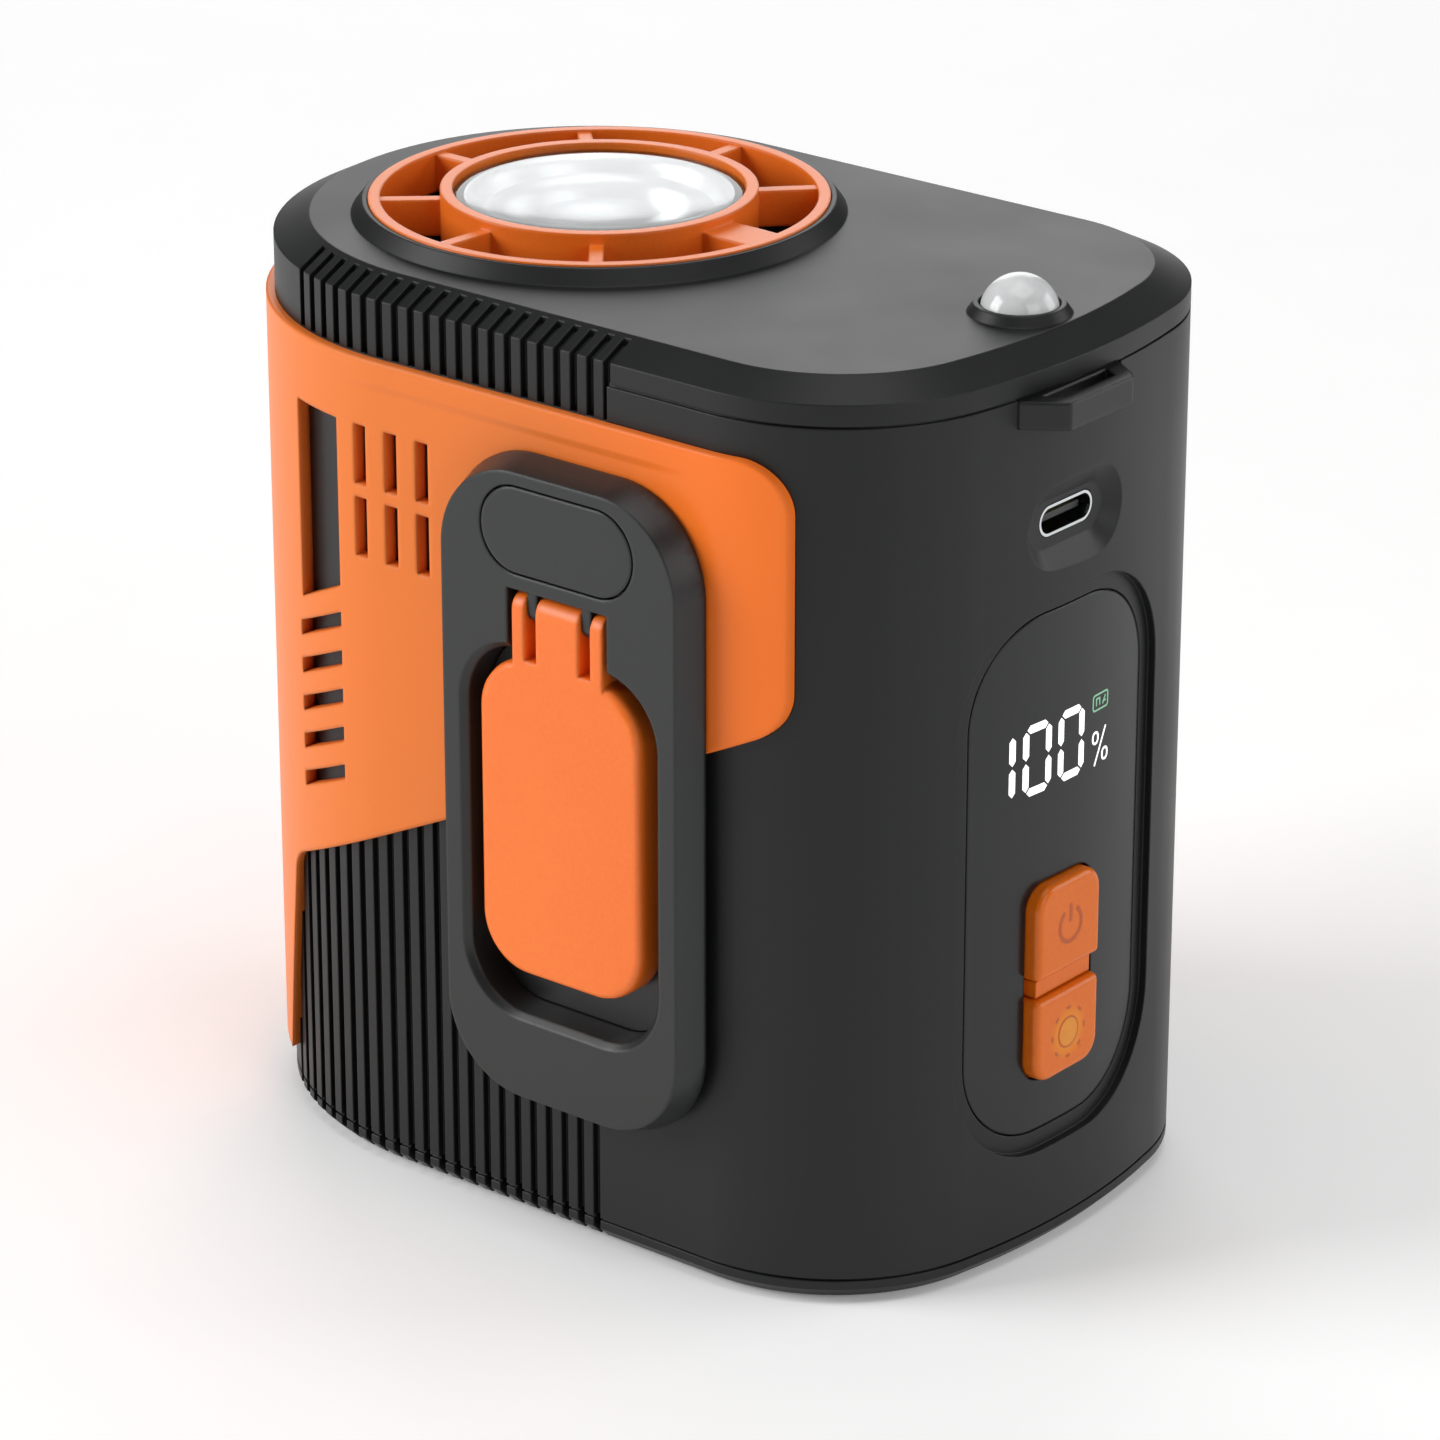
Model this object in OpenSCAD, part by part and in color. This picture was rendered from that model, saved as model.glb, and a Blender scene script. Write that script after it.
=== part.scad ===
// Hand-size jump starter pack: battery housing with a lamp in a vented fan
// ring, a dome light, a percentage display, two buttons, a USB-C port, a
// lanyard loop and a hinged flap over the jump-lead socket.
// Origin: centre of the underside. +X is the display end, -Y the flap side.

/* [Body] */
// Overall length of the housing along X
body_length = 99; // [96:0.5:110]
// Overall depth of the housing along Y
body_depth = 66.6; // [64:0.2:74]
// Height of the flat top above the floor
body_height = 100; // [98:0.5:112]
// Radius of the two upright corners at the display end
corner_radius = 21; // [17:0.5:23]
// How far the display end bulges past its corner tangents
end_bulge = 1.3; // [0.8:0.1:2]
// Wall thickness of the main shell
wall = 2.5; // [2.3:0.1:3]
// Depth of the shadow line at the two horizontal seams
seam_depth = 0.35; // [0.2:0.05:0.6]
// Height of the shadow line at the two horizontal seams
seam_height = 0.3; // [0.2:0.05:0.6]

/* [Base] */
// Height of the base cap's outer band
base_height = 2.5; // [2:0.1:4]
// Chamfer round the underside of the base cap
base_chamfer = 1.25; // [0.6:0.05:1.6]
// Length of the rubber pad
pad_length = 60; // [40:1:64]
// Width of the rubber pad
pad_width = 40; // [24:1:44]
// Corner radius of the rubber pad
pad_radius = 14; // [6:1:18]
// How far the rubber pad stands below the base cap
pad_proud = 0.45; // [0.3:0.05:1]
// How deep the rubber pad sits in the base cap
pad_sunk = 0.8; // [0.4:0.1:1.2]
// Height of the base cap's rim inside the shell
base_rim = 2; // [1.5:0.1:2.5]

/* [Lid] */
// Upright band of the lid above its seam
lid_band = 2.2; // [1.6:0.1:4]
// Height of the sloping edge of the lid
lid_slope_height = 1.9; // [1.2:0.1:3]
// Width of the sloping edge of the lid
lid_slope_width = 3.85; // [2.4:0.05:4.2]
// Depth of the ribbed skirt below the lid seam
skirt_drop = 3.9; // [3:0.1:7]
// X position where the ribbed skirt ends
skirt_end = 14.3; // [12:0.1:18]
// Thickness of the lid
lid_wall = 2; // [1.6:0.1:2.6]
// Thickness of the lip that enters the shell
lip_wall = 1.4; // [1:0.1:2]
// Depth of the lip below the seam it closes
lip_drop = 3; // [2:0.5:5]
// Clearance between parts that push together
fit_gap = 0.1; // [0.05:0.01:0.2]

/* [Ribs] */
// Distance from one groove to the next
rib_pitch = 2.17; // [2:0.01:2.4]
// Width of one groove
groove_width = 0.95; // [0.7:0.05:1.1]
// Depth of one groove
groove_depth = 0.8; // [0.4:0.05:1]
// Number of grooves in the lid skirt
lid_grooves = 21; // [10:1:21]
// Number of grooves in the lower shell
shell_grooves = 23; // [10:1:23]

/* [Side wrap] */
// How far the wrap stands proud of the shell
wrap_proud = 0.95; // [0.6:0.05:1.2]
// How deep the wrap is let into the shell
wrap_sunk = 0.6; // [0.4:0.05:0.9]
// X position of the wrap's end near the display
wrap_right = 36.5; // [34:0.5:38]
// Radius of the wrap's rounded corners
wrap_radius = 5.5; // [3:0.5:7]
// Height of the wrap's slanted lower edge at X = 0
wrap_low = 46.8; // [44:0.2:50]
// Rise of the slanted edges in degrees
wrap_slant = 25.4; // [20:0.2:28]
// X position of the upper front edge of the spine
spine_top_x = -33.1; // [-34.5:0.1:-32]
// X position of the lower front edge of the spine
spine_foot_x = -36.6; // [-38:0.1:-35]
// Height of the spine's foot
spine_foot = 6; // [4:0.5:12]
// Radius of the inner corner between spine and panel
spine_fillet = 4; // [2:0.5:6]
// Height of one air slot round the spine
spine_slot = 1.75; // [1.4:0.05:2.2]
// Distance between the spine's air slots
spine_slot_pitch = 6.35; // [6:0.05:6.6]
// Height of the lowest spine slot
spine_slot_z = 31.3; // [30:0.1:34]
// Half width of the spine's air slots along Y
spine_slot_reach = 21.4; // [16:0.2:22]
// Number of spine slots
spine_slots = 6; // [3:1:6]
// Left edge of the window and the slanted slots
window_x = -29.2; // [-29.6:0.1:-28]
// Width of the window and the slanted slots
window_width = 7.3; // [5:0.1:7.8]
// Distance of the window's top edge below the wrap's
window_drop = 7.45; // [6:0.05:12]
// Height of the window's lower left corner
window_foot = 62.3; // [61.6:0.1:66]
// Height of one slanted slot
louvre_height = 1.7; // [1.2:0.1:2.2]
// Distance between slanted slots
louvre_pitch = 4.32; // [3.8:0.04:4.4]
// Number of slanted slots
louvre_count = 5; // [3:1:5]
// Left edge of the row of stencil bars
stencil_x = -19.2; // [-20:0.1:-17]
// Distance of the stencil bars' upper end below the wrap's top edge
stencil_drop = 7.35; // [6:0.05:12]
// Length of the stencil bars
stencil_height = 14.5; // [10:0.5:15]
// Width of one stencil bar
stencil_bar = 1.7; // [1.2:0.1:2]
// Distance between stencil bars
stencil_pitch = 4.3; // [3.6:0.1:4.4]
// Number of stencil bars
stencil_bars = 3; // [2:1:3]
// Length of the bridge that splits each stencil bar
stencil_bridge = 1.4; // [1:0.1:2.4]

/* [Vent ring] */
// Distance of the ring, the lamp and the fan from the spine's end
ring_inset = 34.8; // [34.1:0.1:35.5]
// Outer radius of the vent ring
ring_radius = 24.4; // [23.8:0.1:24.6]
// Width of the vent ring's outer rim
ring_rim = 1.25; // [1:0.05:1.6]
// Height of the vent ring's rim above the flat top
ring_rise = 1.75; // [1.4:0.05:2.4]
// Depth of the vent ring below the flat top
ring_depth = 2.7; // [2.4:0.1:4]
// Radius of the hub of the vent ring
hub_radius = 16.8; // [16.6:0.05:17.2]
// Wall of the hub of the vent ring
hub_wall = 1.3; // [1:0.05:1.5]
// Height of the hub above the flat top
hub_rise = 2.6; // [2.2:0.1:3.4]
// Number of spokes
spoke_count = 8; // [6:1:8]
// Width of a spoke
spoke_width = 1.5; // [1.2:0.1:2]
// Width of the one broad spoke that hides the lamp's wires
broad_spoke = 5; // [3:0.1:6]
// Turn of the broad spoke away from +X, in degrees
spoke_turn = -2; // [-8:1:8]
// How far the spokes are set in from the rim's top and foot
spoke_step = 0.25; // [0.2:0.05:0.8]
// Width of the black collar at the flat top
collar_width = 1.8; // [1.2:0.1:2.4]
// Height of the black collar
collar_rise = 1.6; // [1:0.1:1.7]
// Width of the collar's flat crest
collar_crest = 0.5; // [0.3:0.1:0.8]

/* [Lamp] */
// Thickness of the lamp lens
lens_thickness = 1.4; // [1:0.1:1.8]
// Radius of the reflector's throat round the light source
throat_radius = 4.2; // [3.6:0.1:5]
// Depth of the reflector
reflector_depth = 9.4; // [7:0.2:10]
// Thickness of the lamp's circuit board
lamp_board_thickness = 1.6; // [1:0.1:2]
// Edge of the square light source
led_size = 5; // [4:0.5:5.5]
// Number of fins under the heat sink
fin_count = 14; // [8:1:16]
// Height of the heat sink's fins
fin_height = 4; // [3:0.5:5]

/* [Fan] */
// Height of the fan frame
fan_height = 10; // [9:0.5:12]
// Height of the duct between vent ring and fan
duct_height = 13.8; // [13:0.2:16]
// Wall of the duct and the fan frame
duct_wall = 2.2; // [1.6:0.1:2.6]
// Radius of the fan's hub
fan_hub = 9.5; // [8:0.5:11]
// Gap between blade tips and the fan frame
tip_gap = 0.8; // [0.4:0.1:1.2]
// Number of fan blades
blade_count = 7; // [5:1:9]
// Pitch of the fan blades in degrees
blade_angle = 38; // [25:1:45]
// Radius of the fan shaft
shaft_radius = 1; // [0.8:0.1:1.5]
// Running clearance of the fan shaft
shaft_gap = 0.05; // [0.02:0.01:0.1]

/* [Dome light] */
// Distance of the dome light from the display end
dome_inset = 9.6; // [9.5:0.1:11.5]
// Y position of the dome light
dome_y = 0.7; // [-1:0.1:2]
// Radius of the dome
dome_radius = 4.1; // [3.5:0.1:4.4]
// Height of the dome above the flat top
dome_rise = 4; // [3:0.1:4.4]
// Radius of the dome's collar at the flat top
dome_collar = 5.5; // [5:0.1:5.7]
// Height of the dome's collar
dome_collar_rise = 1; // [0.6:0.1:1.6]

/* [Side frame and flap] */
// X position of the frame, the flap and the socket
frame_x = 11.5; // [11:0.1:12]
// Height of the lower edge of the frame's front face
frame_foot = 16.85; // [16:0.05:18]
// Distance of the upper edge of the frame's front face below the lid seam
frame_drop = 9.95; // [9:0.05:12]
// Width of the frame's front face
frame_width = 30.7; // [30:0.1:31]
// Corner radius of the frame's front face
frame_radius = 9.7; // [8:0.1:11]
// How far the frame stands out from the shell
frame_depth = 4.8; // [4.6:0.1:6]
// Depth of the frame's sloping side
frame_slope_depth = 3.1; // [2:0.1:3.3]
// Width of the frame's sloping side
frame_slope = 1.1; // [0.6:0.1:1.4]
// Depth of the narrow neck between frame and wrap
neck_depth = 1.2; // [1.1:0.05:1.3]
// How far the neck is set in from the frame's widest edge
neck_inset = 1.2; // [1:0.1:1.6]
// Gap between the neck and the wrap
neck_gap = 0.25; // [0.1:0.05:0.4]
// Width of the well in the frame
well_width = 25; // [24.4:0.1:25.4]
// Distance between the lower edges of the well and the frame
well_lift = 9.45; // [9.2:0.05:10.2]
// Distance between the upper edges of the well and the frame
well_drop = 19.05; // [18.9:0.05:19.3]
// Corner radius of the well
well_radius = 7; // [5:0.1:8]
// Chamfer of the well's front edge
well_chamfer = 0.7; // [0.3:0.1:1]
// Width of the flap
flap_width = 21.2; // [18:0.1:22]
// Gap between the flap and the well's lower edge
flap_lift = 4.7; // [4.3:0.1:5.7]
// Gap between the flap's shoulders and the well's upper edge
flap_drop = 1.2; // [1:0.1:1.9]
// Corner radius of the flap
flap_radius = 6; // [4:0.1:7]
// Thickness of the flap
flap_thickness = 3.5; // [3:0.1:3.6]
// Chamfer of the flap's front edge
flap_chamfer = 0.9; // [0.4:0.1:1.2]
// Width of the flap's tongue
tongue_width = 11.8; // [10:0.1:12]
// Width of the middle knuckle
knuckle_width = 5.5; // [4:0.1:6]
// Width of the two slots beside the middle knuckle
knuckle_slot = 1.65; // [1.4:0.05:1.8]
// Distance of the hinge pin below the frame's upper edge
pin_drop = 14.7; // [14.45:0.05:14.95]
// Radius of the hinge pin
pin_radius = 0.6; // [0.5:0.05:0.8]
// Running clearance of the flap on its pin
pin_gap = 0.05; // [0.02:0.01:0.1]
// Clearance round the knuckles in the frame
knuckle_gap = 0.5; // [0.4:0.05:0.6]
// Width of the oval badge plate
badge_width = 19.7; // [16:0.1:20]
// Height of the oval badge plate
badge_height = 9.1; // [8:0.1:9.4]
// Distance of the badge plate's centre below the frame's upper edge
badge_drop = 6.1; // [5.95:0.05:6.35]
// Thickness of the badge plate
badge_thickness = 1.2; // [0.8:0.1:1.6]
// Width of the groove round the badge plate
badge_gap = 0.25; // [0.1:0.05:0.4]

/* [Jump-lead socket] */
// Width of the socket's face
socket_width = 13.5; // [13:0.1:15]
// Height of the socket's face
socket_height = 25.5; // [25:0.1:27]
// Distance between the two contacts
contact_spacing = 12.4; // [12:0.1:13]
// Inner radius of a contact
contact_bore = 2.5; // [2:0.1:2.5]
// Wall of a contact
contact_wall = 0.7; // [0.5:0.1:0.8]
// Depth of a contact's bore
contact_depth = 15.6; // [10:0.2:16]
// Length of the socket body behind its flange
socket_body = 16; // [16:0.5:17]

/* [Display] */
// Y position of everything on the display end
end_y = -2; // [-2.5:0.1:-1]
// Height of the display plate's lower edge
plate_foot = 13.8; // [13:0.1:15]
// Distance of the display plate's upper edge below the lid seam
plate_drop = 24.5; // [24:0.1:26]
// Width of the display plate
plate_width = 28.2; // [27:0.1:29]
// Corner radius of the display plate
plate_radius = 10.5; // [8:0.1:12]
// Thickness of the display plate
plate_thickness = 0.8; // [0.6:0.1:0.9]
// How deep the plate lies below the shell's surface
plate_depth = 0.9; // [0.6:0.05:1]
// Gap between plate and shell
plate_gap = 0.2; // [0.1:0.05:0.4]
// Width of the bevel round the display plate
bevel_width = 2.2; // [1.2:0.1:2.4]
// Distance of the segment display below the plate's upper edge
digits_drop = 7.9; // [6:0.1:10]
// Gap between the segment display and the button block
digits_lift = 6.9; // [5:0.1:9]
// Width of the segment display
digits_width = 20; // [16:0.5:21]

/* [Buttons] */
// Distance of the button block above the plate's lower edge
button_lift = 5.8; // [5:0.1:7]
// Width of a button cap
button_width = 10.8; // [9:0.1:11]
// Height of the button block
block_height = 22; // [20:0.1:22.4]
// Height of the bridge between the caps
bridge_height = 1.8; // [1.2:0.1:2.4]
// Height of the upper button's lower edge above the block's centre
waist_rise = 0.8; // [0.4:0.1:1]
// Corner radius of the button caps
button_radius = 2.6; // [1.5:0.1:3]
// Clearance round the buttons
button_gap = 0.25; // [0.2:0.05:0.35]
// How far the button caps stand out past the shell
button_proud = 0.4; // [0.2:0.1:1]
// Travel of the buttons
button_travel = 0.5; // [0.3:0.05:0.6]
// Radius of a switch plunger
plunger_radius = 1.75; // [1.5:0.05:2]
// Running clearance of a switch plunger
plunger_gap = 0.05; // [0.03:0.01:0.1]

/* [USB-C port] */
// Distance of the port's centre below the lid seam
port_drop = 14.8; // [14.3:0.1:15]
// Width of the port's shell
port_width = 8.94; // [8.94:0.01:8.94]
// Height of the port's shell
port_height = 3.26; // [3.26:0.01:3.26]
// Length of the port's shell
port_length = 7.3; // [7:0.1:8]
// Wall of the port's shell
port_wall = 0.3; // [0.25:0.05:0.35]
// Width of the dish round the port
dish_width = 17; // [15:0.1:18]
// Height of the dish round the port
dish_height = 9.9; // [8.6:0.1:10]
// Depth of the dish round the port
dish_depth = 1.4; // [1:0.1:1.6]
// How far the dish's centre lies below the port's
dish_drop = 0.3; // [0:0.05:0.4]
// Width of the dish's sloping side
dish_slope = 2.4; // [1.5:0.1:2.6]

/* [Lanyard loop] */
// Y position of the loop
loop_y = -3; // [-4:0.1:-2]
// Width of the loop at its root
loop_width = 16.4; // [15:0.1:17]
// Width of the loop's front bar
loop_bar_width = 12; // [11:0.1:13]
// Reach of the loop past the shell
loop_reach = 3.5; // [3.2:0.1:4.5]
// Thickness of the loop's front bar
loop_bar = 1.6; // [1.4:0.1:2]
// Length of the slant at each front corner of the loop
loop_corner = 0.8; // [0.4:0.1:1.2]
// Height of the loop
loop_height = 2.9; // [2.6:0.1:3.2]
// Width of the hole in the loop, at the front bar
loop_hole = 8.4; // [7:0.1:9]
// How much wider the hole is at its root
loop_flare = 2.4; // [1:0.1:3]
// How deep the loop's root sits in the shell
loop_root = 1.5; // [1:0.1:1.8]

/* [Inside] */
// Width of one battery cell
cell_width = 46; // [40:0.5:46]
// Gap between the battery cells and the fan above them
cell_headroom = 8.55; // [8:0.05:14]
// Gap between the last battery cell and the shell
cell_gap = 0.8; // [0.5:0.1:2]
// Number of battery cells
cell_count = 3; // [2:1:3]
// Y position of the main circuit board's centre plane
board_y = 0; // [-0.5:0.1:0.5]
// Thickness of the circuit boards
board_thickness = 1.6; // [1.2:0.1:1.6]
// Width of the main circuit board
board_width = 62; // [60:1:63]
// Gap between the main circuit board and the fan above it
board_headroom = 3.5; // [2:0.5:8]
// Radius of the housing screws
screw_radius = 1.25; // [1:0.05:1.5]
// Radius of the screw heads
head_radius = 2.6; // [2.2:0.1:2.8]
// Height of the screw heads
head_height = 1.3; // [1:0.1:1.4]

/* [Hidden] */
$fn = 72;
cut = 1;              // how far a cutting solid runs past what it cuts
far = 2 * body_length; // longer than the whole housing
lap = 0.1;            // how far a seam's recessed band runs into what it joins
screw_room = 0.3;     // clearance round a screw and its head
drive_reach = 1.4;    // half length of the cross in a screw's head
drive_width = 0.7;    // width of the cross
drive_depth = 0.6;    // depth of the cross
base_pilot = 12;      // depth of the base screws' pilot holes
base_screw_length = 11;
boss_room = 0.5;      // gap between the base cap's rim and the shell's bosses
groove_lap = 0.5;     // how far the lower grooves run up behind the wrap
groove_hide = 2;      // and how far they stay below the well behind the frame
slot_back = 2;        // how far the shell's air slots are set in from the wrap's
slot_back_height = 1.2; // height of the shell's air slots
slot_run = 10;        // distance between the end of the air slots and the spine's centre
louvre_drop = 4.6;    // distance between the window's and the first slanted slot's lower corners
louvre_run = 0.5;     // how far the slanted slots start left of the window
skirt_groove_in = 0.55; // distance between the grooves' upper ends and the lid's flat top

half_depth = body_depth / 2;
end_x = body_length / 2;
left_x = half_depth - end_x;
corner_y = half_depth - corner_radius;
bulge_inner = (pow(corner_y, 2) + pow(end_bulge, 2)) / (2 * end_bulge);
bulge_radius = bulge_inner + corner_radius;
bulge_x = end_x - bulge_radius;
bulge_angle = asin(corner_y / bulge_inner);
corner_x = bulge_x + sqrt(pow(bulge_inner, 2) - pow(corner_y, 2));

bulge_lap = 0.03;     // the bulge keeps this far inside the corners' tangents, so that the arcs cross

base_bottom = pad_proud;
base_seam = base_bottom + base_height;
lid_seam = body_height - lid_slope_height - lid_band;
skirt_foot = lid_seam - skirt_drop;
lip_foot = skirt_foot - lip_drop;
wrap_top = skirt_foot - seam_height / 2;

window_top = wrap_top - window_drop;
stencil_foot = wrap_top - stencil_drop - stencil_height;

front_y = -half_depth;
face_y = front_y - frame_depth;
floor_proud = 0.6;     // how far the plate at the well's bottom stands out past the shell
floor_y = front_y - floor_proud;
frame_top = lid_seam - frame_drop;
frame_height = frame_top - frame_foot;
frame_z = (frame_foot + frame_top) / 2;
well_foot = frame_foot + well_lift;
well_top = frame_top - well_drop;
well_height = well_top - well_foot;
well_z = (well_foot + well_top) / 2;
well_ledge = 1.5;      // width of the shell's ledge behind the well
well_ledge_foot = 2.1; // and at the well's two ends
flap_foot = well_foot + flap_lift;
flap_top = well_top - flap_drop;
pin_z = frame_top - pin_drop;
badge_z = frame_top - badge_drop;
flap_z = (flap_foot + flap_top) / 2;
pin_y = face_y + flap_thickness / 2;
notch_width = tongue_width + 1.4;
notch_top = pin_z + flap_thickness / 2 + knuckle_gap;
slot_offset = (knuckle_width + knuckle_slot) / 2;
outer_width = frame_width + 2 * frame_slope;
outer_height = frame_height + 2 * frame_slope;
outer_radius = frame_radius + frame_slope;

ring_x = ring_inset - end_x;
dome_x = end_x - dome_inset;
ring_top = body_height + ring_rise;
ring_foot = body_height - ring_depth;
hub_top = body_height + hub_rise;
hub_inner = hub_radius - hub_wall;
ring_hole = ring_radius + fit_gap;
duct_inner = ring_radius - ring_rim + 0.2;
duct_outer = duct_inner + duct_wall;
duct_foot = ring_foot - duct_height;
fan_foot = duct_foot - fan_height;
lug_radius = 2.6;
lug_angles = [60, 180, 300];
lens_foot = hub_top - 0.2 - lens_thickness;
lamp_flange = 0.8;
lamp_board_top = lens_foot - reflector_depth;
lamp_board_foot = lamp_board_top - lamp_board_thickness;
sink_inner = hub_inner - 0.4;
sink_foot = lamp_board_foot - 1.5 - fin_height;

plate_back = plate_depth + plate_thickness;
plate_top = lid_seam - plate_drop;
plate_height = plate_top - plate_foot;
plate_z = (plate_foot + plate_top) / 2;
plate_ledge = 3.1;     // width of the ledge that carries the plate at its sides
plate_ledge_foot = 2.5; // and at its two ends
buttons_z = plate_foot + button_lift + block_height / 2;
digits_foot = buttons_z + block_height / 2 + digits_lift;
digits_top = plate_top - digits_drop;
block_width = button_width + 2 * button_gap;
cap_front = end_x + button_proud;
cap_back = end_x - 3.9;
cap_flange = 0.8;
frame_back = cap_back + cap_flange + 0.3;
switch_front = cap_back - 0.7;
display_board_x = end_x - 8.6;
plunger_length = 2;

post_y = 12;           // half the distance between the display board's screws along Y
post_out = 0.4;        // how far their centres lie past the plate's edges
post_radius = 2.4;     // radius of the bosses that carry the display board
post_pilot = 4.5;      // depth of their pilot holes
display_board_rim = 3; // from the screws' centres to the board's edges
// Centres of the display board's screws, y and z
post_points = [for (s = [-1, 1], t = [-1, 1])
    [end_y + s * post_y, plate_z + t * (plate_height / 2 + post_out)]];

port_z = lid_seam - port_drop;
usb_board_x = end_x - 14.5; // inner end of the port's board
usb_board_width = 18;
shelf = 1.7;           // thickness of the shelf under it
shelf_width = 21;
port_front = end_x - dish_depth;
port_back = port_front - port_length;
port_plug = 0.8;        // closed back of the port's shell
tongue_blade = 6.68;    // width of the port's contact tongue
tongue_thickness = 0.7; // its thickness

loop_top = lid_seam - seam_height;

main_board_front = board_y - board_thickness / 2;
main_board_back = board_y + board_thickness / 2;
board_x = 3;
board_foot = 6;
cradle_wall = 2;
cradle_front = main_board_back + 3.5;
cell_front = cradle_front + cradle_wall + 0.3;
cell_x = 3.5;
cell_foot = base_seam + base_rim;
cell_height = fan_foot - cell_headroom - cell_foot;
cell_thickness = (half_depth - wall - cell_gap - cell_front) / cell_count;
board_height = fan_foot - board_headroom - board_foot;
lip_gap = wall + fit_gap;
base_boss_radius = 3.4;
base_boss_top = 20;
base_boss_inset = 4.8;
// Centres of the four base screws, each near the inside of the wall
base_screw_points = [for (s = [-1, 1]) each [
    [left_x - (half_depth - base_boss_inset) * cos(30), s * (half_depth - base_boss_inset) * sin(30)],
    [corner_x + (corner_radius - base_boss_inset) * cos(45),
     s * (corner_y + (corner_radius - base_boss_inset) * sin(45))]]];

body_grey = "#3a3b3c";
frame_grey = "#3f4443";
orange = "#f4813c";
board_green = "#1f5b3a";
steel = "#b8bbbd";
copper = "#c9824a";

// Height of the wrap's slanted lower edge at a given X
function slant_z(x) = wrap_low + x * tan(wrap_slant);
// Centres of the grooves, counted from the skirt's end towards the left
function groove_x(i) = skirt_end - i * rib_pitch;
// Angle of a width halfway between hub and rim
function spoke_span(w) = w / ((ring_radius - ring_rim + hub_radius) / 2) * 180 / PI;
// Direction of a spoke: the broad one is the first, and the openings between them are alike
function spoke_angle(i) = i == 0 ? spoke_turn : spoke_turn + (spoke_span(broad_spoke) - spoke_span(spoke_width)) / 2
    + i * (360 - spoke_span(broad_spoke) + spoke_span(spoke_width)) / spoke_count;

/* ---- shared shapes ---- */

// Plan outline of the housing, drawn in by o
module plan(o = 0) {
    translate([left_x, 0]) circle(half_depth - o);
    translate([left_x, o - half_depth]) square([corner_x - left_x, body_depth - 2 * o]);
    for (s = [-1, 1]) translate([corner_x, s * corner_y]) circle(corner_radius - o);
    translate([bulge_x, 0]) intersection() {
        circle(bulge_radius - bulge_lap - o, $fn = 240);
        bulge_wedge();
    }
}

// Wedge between the two corners, as seen from the bulge's centre, without its tip
module bulge_wedge() {
    tip = bulge_inner / 2;
    reach = 2 * bulge_radius;
    polygon([for (p = [[tip, -1], [reach, -1], [reach, 1], [tip, 1]])
        p[0] * [cos(bulge_angle), p[1] * sin(bulge_angle)]]);
}

// Upright slab of the housing's plan between two heights
module slab(z0, z1, o = 0) translate([0, 0, z0]) linear_extrude(z1 - z0) plan(o);

// Slab whose sides slope from inset o0 below to inset o1 above
module sloped_slab(z0, z1, o0, o1) {
    h = z1 - z0;
    translate([0, 0, z0]) {
        translate([left_x, 0]) cylinder(h, half_depth - o0, half_depth - o1);
        translate([left_x, 0]) along_x() linear_extrude(corner_x - left_x) polygon([
            [o0 - half_depth, 0], [half_depth - o0, 0], [half_depth - o1, h], [o1 - half_depth, h]]);
        for (s = [-1, 1]) translate([corner_x, s * corner_y])
            cylinder(h, corner_radius - o0, corner_radius - o1);
        translate([bulge_x, 0]) intersection() {
            cylinder(h, bulge_radius - bulge_lap - o0, bulge_radius - bulge_lap - o1, $fn = 240);
            linear_extrude(h) bulge_wedge();
        }
    }
}

// Turns a flat drawing to face +X: its x runs along Y, its y along Z
module along_x() rotate([90, 0, 90]) children();

// Turns a flat drawing to face -Y: its x runs along X, its y along Z
module facing_front(y = 0) translate([0, y, 0]) rotate([90, 0, 0]) children();

// Rounded rectangle about its centre
module rounded(w, h, r) {
    square([w - 2 * r, h], center = true);
    square([w, h - 2 * r], center = true);
    for (x = [-1, 1], y = [-1, 1]) translate([x * (w / 2 - r), y * (h / 2 - r)]) circle(r);
}

// Outline with two straight sides and two half-round ends, about its centre
module stadium(w, h) {
    r = min(w, h) / 2;
    square([w > h ? w - h : w, w > h ? h : h - w], center = true);
    for (s = [-1, 1]) translate(s * [w / 2 - r, h / 2 - r]) circle(r);
}

// Block on a lying stadium that grows by s over its height d
module flared_stadium(w, h, d, s) {
    r = h / 2;
    for (x = [-1, 1]) translate([x * (w / 2 - r), 0, 0]) cylinder(d, r, r + s);
    translate([r - w / 2, 0, 0]) along_x() linear_extrude(w - h)
        polygon([[-r, 0], [r, 0], [r + s, d], [-r - s, d]]);
}

// Rounded rectangular block whose outline shrinks by s over its height d
module taper_block(w, h, r, d, s) {
    for (x = [-1, 1], y = [-1, 1]) translate([x * (w / 2 - r), y * (h / 2 - r)]) cylinder(d, r, r - s);
    translate([0, h / 2 - r, 0]) rotate([90, 0, 0]) linear_extrude(h - 2 * r)
        polygon([[-w / 2, 0], [w / 2, 0], [w / 2 - s, d], [s - w / 2, d]]);
    translate([r - w / 2, 0, 0]) rotate([90, 0, 90]) linear_extrude(w - 2 * r)
        polygon([[-h / 2, 0], [h / 2, 0], [h / 2 - s, d], [s - h / 2, d]]);
}

// Tube between two heights
module tube(z0, z1, outer, inner) translate([0, 0, z0]) difference() {
    cylinder(z1 - z0, outer, outer);
    translate([0, 0, -cut]) cylinder(z1 - z0 + 2 * cut, inner, inner);
}

// Row of upright boxes that cut the grooves first to last, up to the heights tops[i]
module groove_boxes(first, last, foot, tops)
    for (i = [first:last]) translate([groove_x(i) - groove_width / 2, -body_depth, foot])
        cube([groove_width, 2 * body_depth, tops[i - first] - foot]);

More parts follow.
